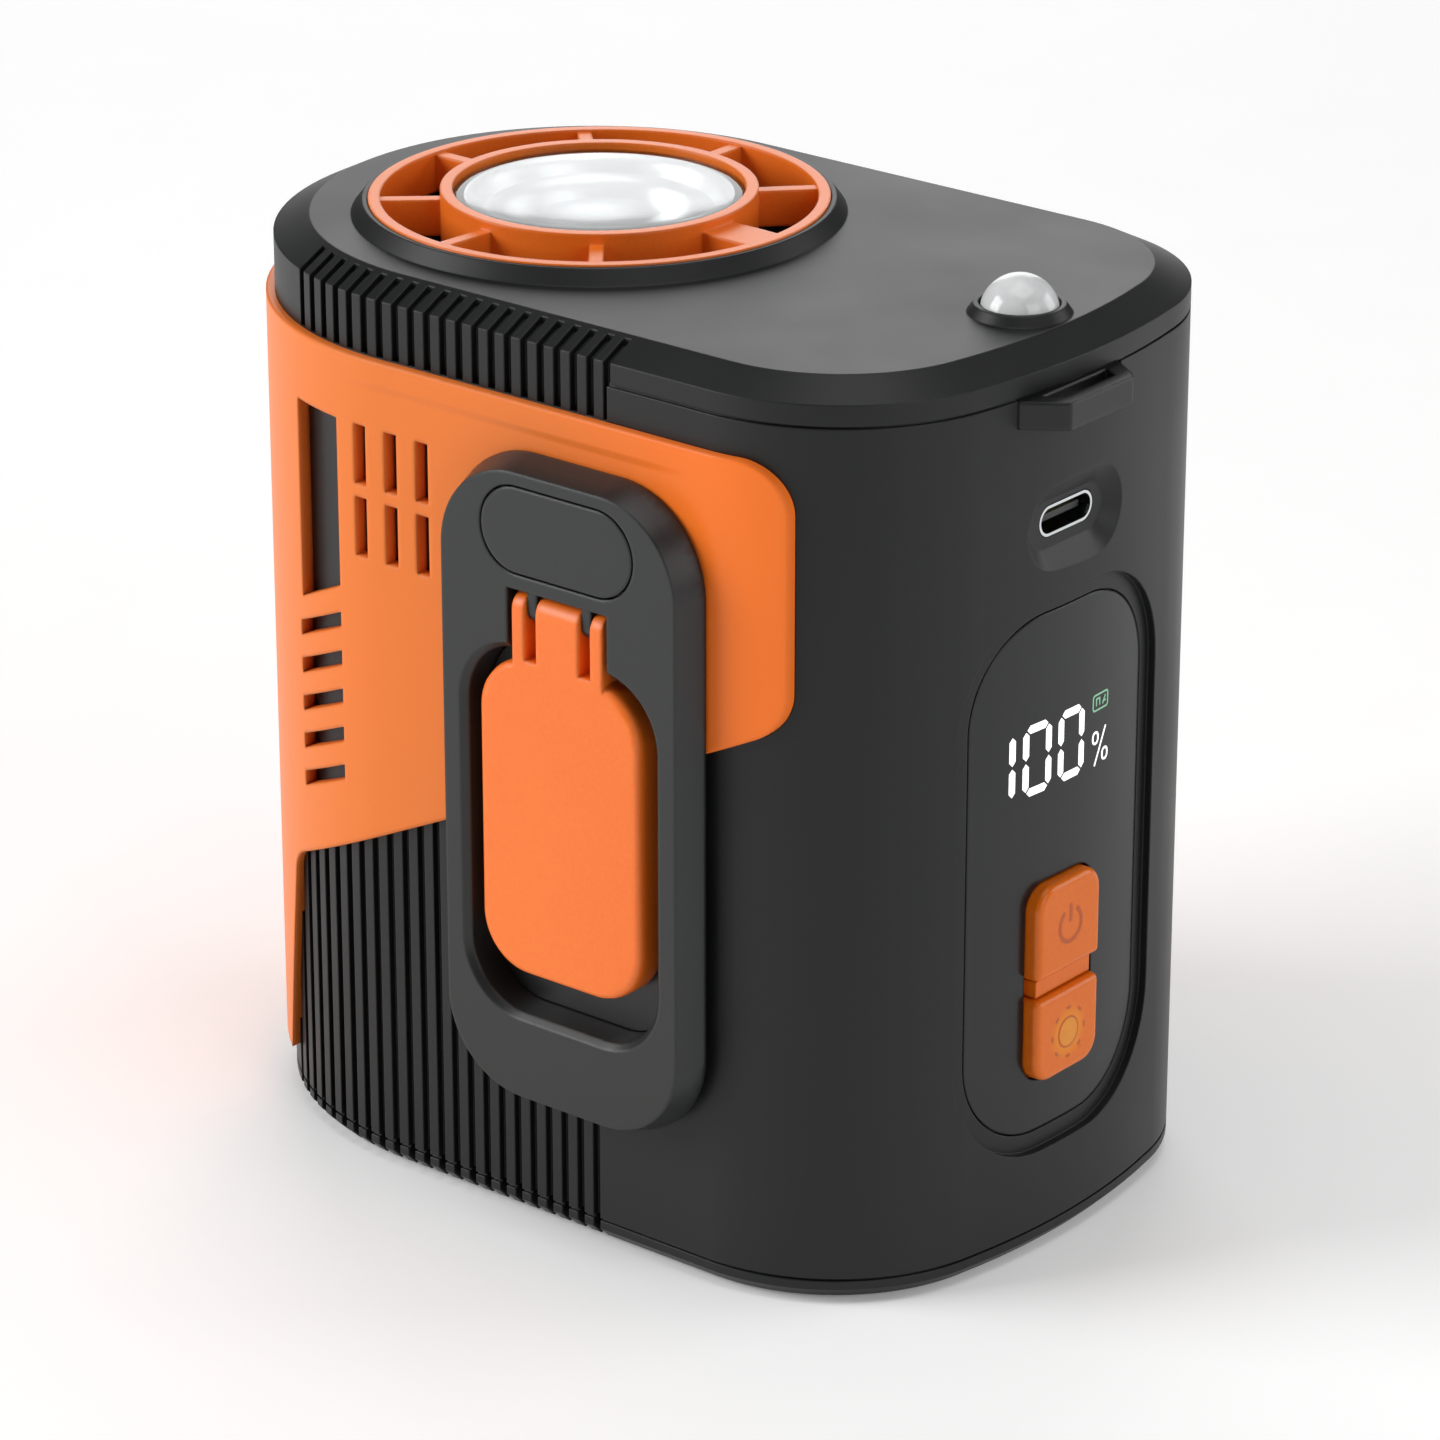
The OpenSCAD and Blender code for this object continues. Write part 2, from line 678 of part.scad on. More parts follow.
// Pan-head screw along +Z with its head below z = 0
module screw(length) {
    cylinder(length, screw_radius, screw_radius);
    difference() {
        translate([0, 0, -head_height]) cylinder(head_height, head_radius, head_radius);
        for (a = [0, 90]) rotate(a) translate([-drive_reach, -drive_width / 2, -head_height - cut])
            cube([2 * drive_reach, drive_width, cut + drive_depth]);
    }
}

/* ---- housing ---- */

// Area covered by the wrap, seen from the front: x along X, y along Z
module wrap_area() {
    rise = wrap_radius / cos(wrap_slant);
    low_y = slant_z(wrap_right - wrap_radius) + rise;
    foot_x = wrap_right - wrap_radius + wrap_radius * sin(wrap_slant);
    fillet_y = slant_z(spine_top_x + spine_fillet) - spine_fillet / cos(wrap_slant);
    fillet_x = spine_top_x + spine_fillet - spine_fillet * sin(wrap_slant);
    difference() {
        polygon([
            [-far, spine_foot], [spine_foot_x, spine_foot], [spine_top_x, fillet_y],
            [fillet_x, slant_z(fillet_x)], [foot_x, slant_z(foot_x)], [wrap_right, low_y],
            [wrap_right, wrap_top - wrap_radius], [wrap_right - wrap_radius, wrap_top],
            [-far, wrap_top]]);
        translate([spine_top_x + spine_fillet, fillet_y]) circle(spine_fillet);
    }
    for (y = [low_y, wrap_top - wrap_radius]) translate([wrap_right - wrap_radius, y]) circle(wrap_radius);
}

// Skin over the wrap's area, from wrap_sunk below the surface to o above it
module wrap_skin(o) difference() {
    intersection() {
        difference() {
            slab(spine_foot, wrap_top, -o);
            slab(spine_foot - cut, wrap_top + cut, wrap_sunk);
        }
        translate([0, body_depth, 0]) rotate([90, 0, 0]) linear_extrude(2 * body_depth) wrap_area();
    }
    facing_front() linear_extrude(body_depth) translate([frame_x, frame_z]) rounded(
        outer_width - 2 * (neck_inset - neck_gap), outer_height - 2 * (neck_inset - neck_gap),
        outer_radius - neck_inset + neck_gap);
}

// Solid that leaves a bevelled seat for the display plate in the curved end
module display_recess() difference() {
    hull() {
        intersection() {
            translate([0, end_y, plate_z]) along_x() linear_extrude(far)
                rounded(plate_width + 2 * bevel_width, plate_height + 2 * bevel_width,
                    plate_radius + bevel_width, $fn = 48);
            difference() {
                slab(0, body_height, -1);
                slab(-cut, body_height + cut, 0);
            }
        }
        intersection() {
            translate([0, end_y, plate_z]) along_x() linear_extrude(far)
                rounded(plate_width + 2 * plate_gap, plate_height + 2 * plate_gap,
                    plate_radius + plate_gap, $fn = 48);
            slab(0, body_height, plate_depth);
        }
    }
    slab(-cut, body_height + cut, plate_depth);
    translate([-far + corner_x, -far / 2, 0]) cube([far, far, far]);
}

// Pocket for the display plate
module plate_pocket(gap) intersection() {
    translate([0, end_y, plate_z]) along_x() linear_extrude(far)
        rounded(plate_width + 2 * gap, plate_height + 2 * gap, plate_radius + gap);
    children();
}

module main_shell() color(body_grey) {
    lower_tops = [for (i = [1:shell_grooves])
        groove_x(i) < frame_x - outer_width / 2 ? slant_z(groove_x(i)) + groove_lap : well_foot - groove_hide];
    difference() {
        union() {
            difference() {
                union() {
                    slab(base_seam, lid_seam - seam_height);
                    slab(lid_seam - seam_height - cut, lid_seam, seam_depth);
                }
                slab(base_seam - cut, lid_seam + cut, wall);
            }
            // screw bosses for the base cap
            intersection() {
                for (p = base_screw_points) translate([p[0], p[1], base_seam])
                    cylinder(base_boss_top - base_seam, base_boss_radius, base_boss_radius);
                slab(base_seam, lid_seam, wall / 2);
            }
            // bosses for the display board
            intersection() {
                for (p = post_points) translate([display_board_x, p[0], p[1]]) along_x()
                    cylinder(far, post_radius, post_radius);
                slab(base_seam, lid_seam, wall / 2 + plate_depth);
            }
            // shelf under the port's board
            intersection() {
                translate([usb_board_x - 1, end_y - shelf_width / 2, port_z - port_height / 2 - board_thickness - shelf])
                    cube([far, shelf_width, shelf]);
                slab(base_seam, lid_seam, wall / 2);
            }
        }
        // step under the lid's skirt
        translate([-far + skirt_end, -far / 2, skirt_foot]) cube([far, far, far]);
        // bed of the wrap
        wrap_skin(wrap_proud + cut);
        // grooves below the wrap
        difference() {
            groove_boxes(1, shell_grooves, -cut, lower_tops);
            slab(-2 * cut, lid_seam, groove_depth);
        }
        // air slots round the spine
        for (i = [0:spine_slots - 1])
            translate([-far, slot_back - spine_slot_reach, spine_slot_z + i * spine_slot_pitch - slot_back_height / 2])
                cube([far + left_x - slot_run, 2 * (spine_slot_reach - slot_back), slot_back_height]);
        // opening behind the flap
        translate([frame_x, 0, well_z]) facing_front() linear_extrude(far)
            rounded(well_width - 2 * well_ledge, well_height - 2 * well_ledge_foot, well_radius - well_ledge);
        // seat and opening of the display
        display_recess();
        plate_pocket(plate_gap) difference() {
            slab(0, body_height, -cut);
            slab(-cut, body_height + cut, plate_back);
        }
        translate([corner_x, end_y, plate_z]) along_x() linear_extrude(far)
            rounded(plate_width - 2 * plate_ledge, plate_height - 2 * plate_ledge_foot, plate_radius - plate_ledge);
        for (p = post_points) translate([display_board_x - cut, p[0], p[1]]) along_x()
            cylinder(post_pilot + cut, screw_radius, screw_radius);
        // dish and mouth of the port
        translate([port_front, end_y, port_z - dish_drop]) along_x()
            flared_stadium(dish_width - 2 * dish_slope, dish_height - 2 * dish_slope, dish_depth + cut,
                dish_slope * (dish_depth + cut) / dish_depth);
        translate([port_back, end_y, port_z]) along_x() linear_extrude(far)
            stadium(port_width + 2 * fit_gap, port_height + 2 * fit_gap);
        // pocket for the lanyard loop's root
        lanyard_root(end_x + cut);
        // pilot holes of the base screws
        for (p = base_screw_points) translate([p[0], p[1], base_seam]) cylinder(base_pilot, screw_radius, screw_radius);
    }
}

// Root of the lanyard loop, out to the plane x = reach
module lanyard_root(reach) intersection() {
    translate([0, loop_y - loop_width / 2, loop_top - loop_height]) cube([reach, loop_width, loop_height]);
    difference() {
        slab(0, body_height, -far / 4);
        slab(-cut, body_height + cut, loop_root);
    }
}

module base_cap() color(body_grey) difference() {
    union() {
        sloped_slab(base_bottom, base_bottom + base_chamfer, base_chamfer, 0);
        slab(base_bottom + base_chamfer, base_seam - seam_height);
        slab(base_seam - seam_height - lap, base_seam, seam_depth);
        difference() {
            slab(base_seam - lap, base_seam + base_rim, lip_gap);
            slab(base_seam - cut, base_seam + base_rim + cut, lip_gap + lip_wall);
            for (p = base_screw_points) translate([p[0], p[1], base_seam])
                cylinder(base_rim + cut, base_boss_radius + boss_room, base_boss_radius + boss_room);
        }
    }
    difference() {
        groove_boxes(1, shell_grooves, -cut, [for (i = [1:shell_grooves]) base_seam + 0.01]);
        slab(-2 * cut, lid_seam, base_chamfer + groove_depth / 2);
    }
    translate([0, 0, -cut]) linear_extrude(cut + base_bottom + pad_sunk)
        rounded(pad_length, pad_width, pad_radius);
    for (p = base_screw_points) translate([p[0], p[1], 0]) {
        translate([0, 0, -cut])
            cylinder(cut + base_bottom + head_height, head_radius + screw_room, head_radius + screw_room);
        cylinder(base_seam + cut, screw_radius + screw_room, screw_radius + screw_room);
    }
}

module base_pad() color("#2a2b2b") {
    soft = pad_proud / 2;
    linear_extrude(base_bottom + pad_sunk) rounded(pad_length - 2 * soft, pad_width - 2 * soft, pad_radius - soft);
    translate([0, 0, soft]) linear_extrude(base_bottom + pad_sunk - soft)
        rounded(pad_length, pad_width, pad_radius);
}

module base_screws() color(steel)
    for (p = base_screw_points) translate([p[0], p[1], base_bottom + head_height]) screw(base_screw_length);

module side_wrap() color(orange) difference() {
    wrap_skin(wrap_proud);
    // window and slanted slots, cut in the front only
    facing_front() linear_extrude(body_depth) {
        rise = window_width * tan(wrap_slant);
        polygon([
            [window_x, window_foot], [window_x + window_width, window_foot + rise],
            [window_x + window_width, window_top], [window_x, window_top]]);
        for (i = [0:louvre_count - 1]) {
            z = window_foot - louvre_drop - i * louvre_pitch;
            polygon([
                [window_x - louvre_run, z], [window_x + window_width, z + rise],
                [window_x + window_width, z + rise + louvre_height], [window_x - louvre_run, z + louvre_height]]);
        }
        // stencil bars, each split by a bridge
        for (i = [0:stencil_bars - 1], half = [0, 1]) {
            length = (stencil_height - stencil_bridge) / 2;
            translate([stencil_x + i * stencil_pitch, stencil_foot + half * (length + stencil_bridge)])
                square([stencil_bar, length]);
        }
    }
    for (i = [0:spine_slots - 1])
        translate([-far, -spine_slot_reach, spine_slot_z + i * spine_slot_pitch - spine_slot / 2])
            cube([far + left_x - slot_run, 2 * spine_slot_reach, spine_slot]);
}

/* ---- lid, vent ring, lamp and fan ---- */

module top_lid() color(body_grey) difference() {
    slope_z = body_height - lid_slope_height;
    groove_end = lid_slope_width - skirt_groove_in;
    union() {
        difference() {
            union() {
                slab(lid_seam, slope_z);
                sloped_slab(slope_z, body_height, 0, lid_slope_width);
                difference() {
                    slab(skirt_foot, lid_seam);
                    translate([skirt_end, -far / 2, 0]) cube([far, far, far]);
                }
            }
            slab(skirt_foot - cut, lid_seam, wall);
            slab(lid_seam - cut, body_height - lid_wall, wall + lid_slope_width / 3);
        }
        // lip inside the shell
        difference() {
            slab(lip_foot, lid_seam + cut, lip_gap);
            slab(lip_foot - cut, lid_seam + 2 * cut, lip_gap + lip_wall);
            translate([corner_x, loop_y - loop_width / 2 - lip_drop, 0]) cube([far, loop_width + 2 * lip_drop, far]);
        }
        // duct, its screw bosses and the collar
        translate([ring_x, 0, 0]) {
            translate([0, 0, duct_foot]) linear_extrude(body_height - duct_foot - lid_wall / 2) {
                circle(duct_outer);
                for (a = lug_angles) rotate(a) translate([duct_outer + lug_radius / 2, 0]) circle(lug_radius);
            }
            translate([0, 0, body_height - lap])
                cylinder(collar_rise + lap, ring_hole + collar_width, ring_hole + collar_crest);
        }
        translate([dome_x, dome_y, body_height - lap])
            cylinder(dome_collar_rise + lap, dome_collar, dome_radius + fit_gap + collar_crest);
    }
    // grooves over the skirt and the sloping edge
    difference() {
        groove_boxes(0, lid_grooves - 1, skirt_foot - cut,
            [for (i = [0:lid_grooves - 1]) body_height + cut]);
        slab(skirt_foot - 2 * cut, slope_z - groove_depth / 2, groove_depth);
        sloped_slab(slope_z - groove_depth / 2, body_height - groove_depth / 2, groove_depth,
            groove_depth + lid_slope_width);
        slab(skirt_foot - 2 * cut, body_height + 2 * cut, groove_end);
    }
    translate([ring_x, 0, 0]) {
        translate([0, 0, ring_foot]) cylinder(far, ring_hole, ring_hole);
        translate([0, 0, duct_foot - cut]) cylinder(far, duct_inner, duct_inner);
        for (a = lug_angles) rotate(a) translate([duct_outer + lug_radius / 2, 0, duct_foot - cut])
            cylinder(cut + 6, screw_radius, screw_radius);
    }
    translate([dome_x, dome_y, body_height - lid_wall - cut])
        cylinder(far, dome_radius + fit_gap, dome_radius + fit_gap);
    lanyard_root(end_x + cut);
}

module vent_ring() color(orange) translate([ring_x, 0, 0]) {
    spoke_foot = ring_foot + spoke_step;
    spoke_top = ring_top - spoke_step;
    tube(ring_foot, ring_top, ring_radius, ring_radius - ring_rim);
    tube(ring_foot, hub_top, hub_radius, hub_inner);
    for (i = [0:spoke_count - 1]) rotate(spoke_angle(i)) {
        w = i == 0 ? broad_spoke : spoke_width;
        intersection() {
            translate([0, -w / 2, spoke_foot]) cube([ring_radius, w, spoke_top - spoke_foot]);
            tube(spoke_foot, spoke_top, ring_radius - ring_rim / 2, hub_radius - hub_wall / 2);
        }
    }
}

module lamp_lens() color("#dfe6ea", 0.45) translate([ring_x, 0, lens_foot]) {
    edge = 0.3;
    cylinder(lens_thickness - edge, hub_inner - fit_gap / 2, hub_inner - fit_gap / 2);
    translate([0, 0, lens_thickness - edge])
        cylinder(edge, hub_inner - fit_gap / 2, hub_inner - fit_gap / 2 - edge);
}

module lamp_reflector() color("#d9dcde") translate([ring_x, 0, 0]) rotate_extrude() {
    skin = 0.8;
    polygon([
        [throat_radius, lamp_board_top], [throat_radius + skin, lamp_board_top],
        [sink_inner - 0.1, lens_foot - lamp_flange - 1.2], [sink_inner - 0.1, lens_foot],
        [hub_inner - fit_gap - 0.9, lens_foot], [throat_radius, lamp_board_top + 1.2]]);
}

module lamp_led() color("#f4e7a8") translate([ring_x, 0, lamp_board_top]) {
    translate([-led_size / 2, -led_size / 2, 0]) cube([led_size, led_size, 0.6]);
    translate([0, 0, 0.6]) difference() {
        sphere(led_size * 0.44);
        translate([0, 0, -led_size]) cube(2 * led_size, center = true);
    }
}

module lamp_board() color("#e8e8e4") translate([ring_x, 0, lamp_board_foot])
    cylinder(lamp_board_thickness, sink_inner - 0.1, sink_inner - 0.1);

module lamp_heatsink() color("#9a9ea1") translate([ring_x, 0, 0]) {
    plate = 1.5;
    tube(lamp_board_foot, ring_foot, hub_radius, sink_inner);
    translate([0, 0, lamp_board_foot - plate]) cylinder(plate, hub_radius, hub_radius);
    translate([0, 0, sink_foot]) cylinder(fin_height, 5, 5);
    for (i = [0:fin_count - 1]) rotate(i * 360 / fin_count)
        translate([4, -0.5, sink_foot]) cube([hub_radius - 5, 1, fin_height]);
}

module fan_frame() color("#262728") translate([ring_x, 0, 0]) difference() {
    union() {
        tube(fan_foot, duct_foot, duct_outer, duct_inner);
        translate([0, 0, fan_foot]) cylinder(1.6, fan_hub, fan_hub);
        for (i = [0:2]) rotate(90 + i * 120) translate([0, -1.5, fan_foot])
            cube([duct_outer - duct_wall / 2, 3, 1.6]);
        translate([0, 0, fan_foot]) cylinder(4.2, 2.6, 2.6);
        for (a = lug_angles) rotate(a) difference() {
            translate([duct_outer + lug_radius / 2, 0, fan_foot]) cylinder(fan_height, lug_radius, lug_radius);
            rotate(-a) translate([0, 0, fan_foot - cut])
                cylinder(fan_height + 2 * cut, duct_outer - duct_wall / 2, duct_outer - duct_wall / 2);
        }
    }
    for (a = lug_angles) rotate(a) translate([duct_outer + lug_radius / 2, 0, fan_foot - cut])
        cylinder(fan_height + 2 * cut, screw_radius + 0.2, screw_radius + 0.2);
    translate([0, 0, fan_foot - cut]) cylinder(6, shaft_radius + shaft_gap, shaft_radius + shaft_gap);
}

module fan_rotor() color("#1d1e1f") translate([ring_x, 0, 0]) {
    tip = duct_inner - tip_gap;
    cup_foot = fan_foot + 2.2;
    cup_top = duct_foot - 0.8;
    chord = (cup_top - cup_foot) / sin(blade_angle) * 0.8;
    difference() {
        translate([0, 0, cup_foot]) cylinder(cup_top - cup_foot, fan_hub, fan_hub);
        translate([0, 0, cup_foot - cut]) cylinder(cup_top - cup_foot - 0.2, fan_hub - 1, fan_hub - 1);
    }
    translate([0, 0, fan_foot + 0.4]) cylinder(cup_top - fan_foot - 0.8, shaft_radius, shaft_radius);
    for (i = [0:blade_count - 1]) rotate(i * 360 / blade_count)
        translate([(fan_hub + tip) / 2 - 0.4, 0, (cup_foot + cup_top) / 2]) rotate([blade_angle, 0, 0])
            cube([tip - fan_hub - 0.4, chord, 0.9], center = true);
}

module fan_screws() color(steel) translate([ring_x, 0, 0])
    for (a = lug_angles) rotate(a) translate([duct_outer + lug_radius / 2, 0, fan_foot]) screw(fan_height + 5);

/* ---- dome light ---- */

module beacon_lens() color("#eef0f1", 0.6) translate([dome_x, dome_y, 0]) {
    skin = 0.9;
    centre = body_height + dome_rise - dome_radius;
    foot = body_height - lid_wall - 1;
    difference() {
        union() {
            translate([0, 0, centre]) sphere(dome_radius);
            translate([0, 0, foot]) cylinder(centre - foot, dome_radius, dome_radius);
            translate([0, 0, foot]) cylinder(1, dome_radius + 1, dome_radius + 1);
        }
        translate([0, 0, centre]) sphere(dome_radius - skin);
        translate([0, 0, foot - far]) cylinder(centre - foot + far, dome_radius - skin, dome_radius - skin);
    }
}

module beacon_board() color(board_green)
    translate([dome_x, dome_y, body_height - lid_wall - 1 - board_thickness])
        translate([-4.5, -6, 0]) cube([9, 12, board_thickness]);

module beacon_led() color("#f4e7a8") translate([dome_x, dome_y, body_height - lid_wall - 1]) {
    cylinder(0.8, 2.2, 2.2);
    translate([0, 0, 0.8]) difference() {
        sphere(1.7);
        translate([0, 0, -5]) cube(10, center = true);
    }
}

/* ---- side frame, flap and socket ---- */

module side_frame() color(frame_grey) difference() {
    union() {
        translate([frame_x, 0, frame_z]) facing_front(front_y) {
            linear_extrude(neck_depth + 0.01)
                rounded(outer_width - 2 * neck_inset, outer_height - 2 * neck_inset, outer_radius - neck_inset);
            translate([0, 0, neck_depth]) linear_extrude(frame_depth - neck_depth - frame_slope_depth)
                rounded(outer_width, outer_height, outer_radius);
            translate([0, 0, frame_depth - frame_slope_depth])
                taper_block(outer_width, outer_height, outer_radius, frame_slope_depth, frame_slope);
        }
    }
    // well
    translate([frame_x, 0, well_z]) facing_front(front_y + cut) {
        linear_extrude(frame_depth + 2 * cut) rounded(well_width, well_height, well_radius);
        translate([0, 0, frame_depth + cut - well_chamfer])
            taper_block(well_width, well_height, well_radius, well_chamfer + 0.01, -well_chamfer - 0.01);
    }
    // notch round the knuckles, with the two lugs left standing in it
    difference() {
        translate([frame_x - notch_width / 2, face_y - cut, well_z + well_height / 2 - well_radius])
            cube([notch_width, frame_depth + cut - 0.8, notch_top - (well_z + well_height / 2 - well_radius)]);
        for (s = [-1, 1]) translate([frame_x + s * slot_offset, pin_y, pin_z]) {
            lug = knuckle_slot - 0.5;
            translate([-lug / 2, 0, 0]) along_x() {
                cylinder(lug, 1.3, 1.3);
                translate([-1.3, 0, 0]) cube([2.6, notch_top - pin_z + 0.01, lug]);
            }
        }
    }
    translate([frame_x - notch_width / 2 - 1.6, pin_y, pin_z]) along_x()
        cylinder(notch_width + 3.2, pin_radius, pin_radius);
    // seat of the badge plate
    translate([frame_x, 0, badge_z]) facing_front(face_y + badge_thickness)
        linear_extrude(badge_thickness + cut)
            stadium(badge_width + 2 * badge_gap, badge_height + 2 * badge_gap);
}

module frame_badge() color(frame_grey) translate([frame_x, 0, badge_z]) facing_front(face_y + badge_thickness)
    linear_extrude(badge_thickness) stadium(badge_width, badge_height);

module socket_flap() color("#fb8748") difference() {
    edge = flap_chamfer / 2;
    tongue_foot = flap_top - flap_radius;
    union() {
        translate([frame_x, 0, flap_z]) facing_front(face_y + flap_thickness) {
            w = flap_width;
            h = flap_top - flap_foot;
            linear_extrude(flap_thickness - flap_chamfer) rounded(w, h, flap_radius);
            linear_extrude(flap_thickness - edge / 4) rounded(w - 4 * edge, h - 4 * edge, flap_radius - 2 * edge);
            translate([0, 0, flap_thickness - flap_chamfer])
                taper_block(w, h, flap_radius, flap_chamfer - edge / 2, edge / 2);
            translate([0, 0, flap_thickness - edge / 2])
                taper_block(w - edge, h - edge, flap_radius - edge / 2, edge / 2, edge);
        }
        translate([frame_x - tongue_width / 2, pin_y, (tongue_foot + pin_z + flap_thickness / 2) / 2]) along_x()
            linear_extrude(tongue_width) stadium(flap_thickness, pin_z + flap_thickness / 2 - tongue_foot);
    }
    for (s = [-1, 1]) translate([frame_x + s * slot_offset - knuckle_slot / 2, face_y - cut, flap_top + 0.3])
        cube([knuckle_slot, flap_thickness + 2 * cut, far]);
    translate([frame_x - tongue_width / 2 - cut, pin_y, pin_z]) along_x()
        cylinder(tongue_width + 2 * cut, pin_radius + pin_gap, pin_radius + pin_gap);
}

module hinge_pin() color(steel) translate([frame_x - notch_width / 2 - 1.6, pin_y, pin_z]) along_x()
    cylinder(notch_width + 3.2, pin_radius, pin_radius);

module socket_plate() color("#303233") difference() {
    translate([frame_x, 0, well_z]) {
        facing_front(front_y) linear_extrude(front_y - floor_y)
            rounded(well_width - 2 * fit_gap, well_height - 2 * fit_gap, well_radius - fit_gap);
        facing_front(front_y + wall) linear_extrude(wall + 0.01)
            rounded(well_width - 2 * (well_ledge + fit_gap), well_height - 2 * (well_ledge_foot + fit_gap),
                well_radius - well_ledge - fit_gap);
    }
    translate([frame_x, 0, flap_z]) facing_front(0) linear_extrude(far)
        stadium(socket_width + 2 * fit_gap, socket_height + 2 * fit_gap);
}

module jump_socket() color("#1c4fa8") difference() {
    translate([frame_x, 0, flap_z]) {
        facing_front(front_y + wall) linear_extrude(wall + 0.4) stadium(socket_width, socket_height);
        facing_front(front_y + wall + 2) linear_extrude(2) stadium(socket_width + 4, socket_height + 4);
        facing_front(front_y + wall + 2 + socket_body) linear_extrude(socket_body)
            stadium(socket_width, socket_height);
    }
    for (s = [-1, 1]) translate([frame_x, 0, flap_z + s * contact_spacing / 2]) facing_front(cut)
        cylinder(far, contact_bore + contact_wall, contact_bore + contact_wall);
}

module socket_contacts() color("#d0a850")
    for (s = [-1, 1]) translate([frame_x, 0, flap_z + s * contact_spacing / 2]) difference() {
        mouth = front_y + 0.7;
        union() {
            facing_front(mouth + contact_depth + 2)
                cylinder(contact_depth + 2, contact_bore + contact_wall, contact_bore + contact_wall);
            facing_front(main_board_front)
                cylinder(main_board_front - (mouth + contact_depth + 2) + 0.01, 1.5, 1.5);
        }
        facing_front(mouth + contact_depth) cylinder(contact_depth + cut, contact_bore, contact_bore);
    }

/* ---- display end ---- */

module display_plate() color("#1b1d1f") difference() {
    plate_pocket(0) difference() {
        slab(0, body_height, plate_depth);
        slab(-cut, body_height + cut, plate_back);
        translate([-far + corner_x, -far / 2, 0]) cube([far, far, far]);
    }
    translate([0, end_y, buttons_z]) along_x() linear_extrude(far)
        rounded(block_width, block_height + 2 * button_gap, button_radius + button_gap);
}

module display_module() color("#e4e4e0") intersection() {
    translate([display_board_x, end_y - digits_width / 2, digits_foot])
        cube([far, digits_width, digits_top - digits_foot]);
    slab(0, body_height, plate_back);
}

module display_board() color(board_green) difference() {
    width = 2 * (post_y + display_board_rim);
    height = plate_height + 2 * (post_out + display_board_rim - 0.4);
    translate([display_board_x - board_thickness, end_y - width / 2, plate_z - height / 2])
        cube([board_thickness, width, height]);
    for (p = post_points) translate([display_board_x - far, p[0], p[1]]) along_x()
        cylinder(2 * far, screw_radius + screw_room, screw_radius + screw_room);
}

module display_screws() color(steel) for (p = post_points)
    translate([display_board_x - board_thickness, p[0], p[1]]) along_x()
        screw(board_thickness + post_pilot - 0.5);

// Carrier behind the display plate, with the low bar between the caps
module button_bridge() color("#e5762f") {
    difference() {
        intersection() {
            translate([frame_back, end_y, buttons_z]) along_x() linear_extrude(far)
                rounded(block_width + 4, block_height + 3.6, button_radius + 1);
            slab(0, body_height, plate_back);
        }
        translate([0, end_y, buttons_z]) along_x() linear_extrude(far)
            rounded(block_width, block_height + 2 * button_gap, button_radius + button_gap);
    }
    translate([frame_back, end_y - block_width / 2 - 0.5, buttons_z + waist_rise - button_gap - bridge_height])
        cube([end_x - plate_depth - 1.4 - frame_back, block_width + 1, bridge_height]);
    translate([frame_back, end_y - block_width / 2 + 1, buttons_z + waist_rise - button_gap - bridge_height])
        cube([end_x - 0.5 - frame_back, block_width - 2, bridge_height]);
}

// One button cap between two heights, with its retaining flange and its post
module button_cap(z0, z1) translate([0, end_y, (z0 + z1) / 2]) along_x() {
    h = z1 - z0;
    edge = 0.5;
    translate([0, 0, cap_back]) {
        linear_extrude(cap_front - cap_back - edge) rounded(button_width, h, button_radius);
        translate([0, 0, cap_front - cap_back - edge])
            taper_block(button_width, h, button_radius, edge, edge);
        linear_extrude(cap_flange) rounded(button_width + 1.6, h + 1.2, button_radius);
    }
}

upper_foot = buttons_z + waist_rise;
lower_top = buttons_z + waist_rise - bridge_height - 2 * button_gap;

module power_button() color("#ee7a35") button_cap(upper_foot, buttons_z + block_height / 2);

module light_button() color("#ee7a35") button_cap(buttons_z - block_height / 2, lower_top);

// Plunger of the switch behind a button
module plunger(z) translate([cap_back - plunger_length, end_y, z]) along_x()
    cylinder(plunger_length, plunger_radius, plunger_radius);

module power_plunger() color("#202020") plunger((upper_foot + buttons_z + block_height / 2) / 2);

module light_plunger() color("#202020") plunger((lower_top + buttons_z - block_height / 2) / 2);

module switch_bodies() color("#3c3c3c")
    for (z = [(upper_foot + buttons_z + block_height / 2) / 2, (lower_top + buttons_z - block_height / 2) / 2])
        translate([display_board_x, end_y, z]) along_x() difference() {
            linear_extrude(switch_front - display_board_x) rounded(6, 6, 0.6);
            translate([0, 0, cap_back - display_board_x - plunger_length - button_travel - 0.2])
                cylinder(far, plunger_radius + plunger_gap, plunger_radius + plunger_gap);
        }

module usb_shell() color("#c9cccf") difference() {
    translate([port_back, end_y, port_z]) along_x() linear_extrude(port_length)
        stadium(port_width, port_height);
    translate([port_back + port_plug, end_y, port_z]) along_x() linear_extrude(port_length)
        stadium(port_width - 2 * port_wall, port_height - 2 * port_wall);
}

module usb_tongue() color("#141516") translate([port_back + port_plug, end_y, port_z]) {
    translate([0, -tongue_blade / 2, -tongue_thickness / 2])
        cube([port_length - port_plug - 0.9, tongue_blade, tongue_thickness]);
    along_x() linear_extrude(1.2) stadium(port_width - 2 * port_wall, port_height - 2 * port_wall);
}

module usb_board() color(board_green)
    translate([usb_board_x, end_y - usb_board_width / 2, port_z - port_height / 2 - board_thickness])
        cube([end_x - wall - 2 - usb_board_x, usb_board_width, board_thickness]);

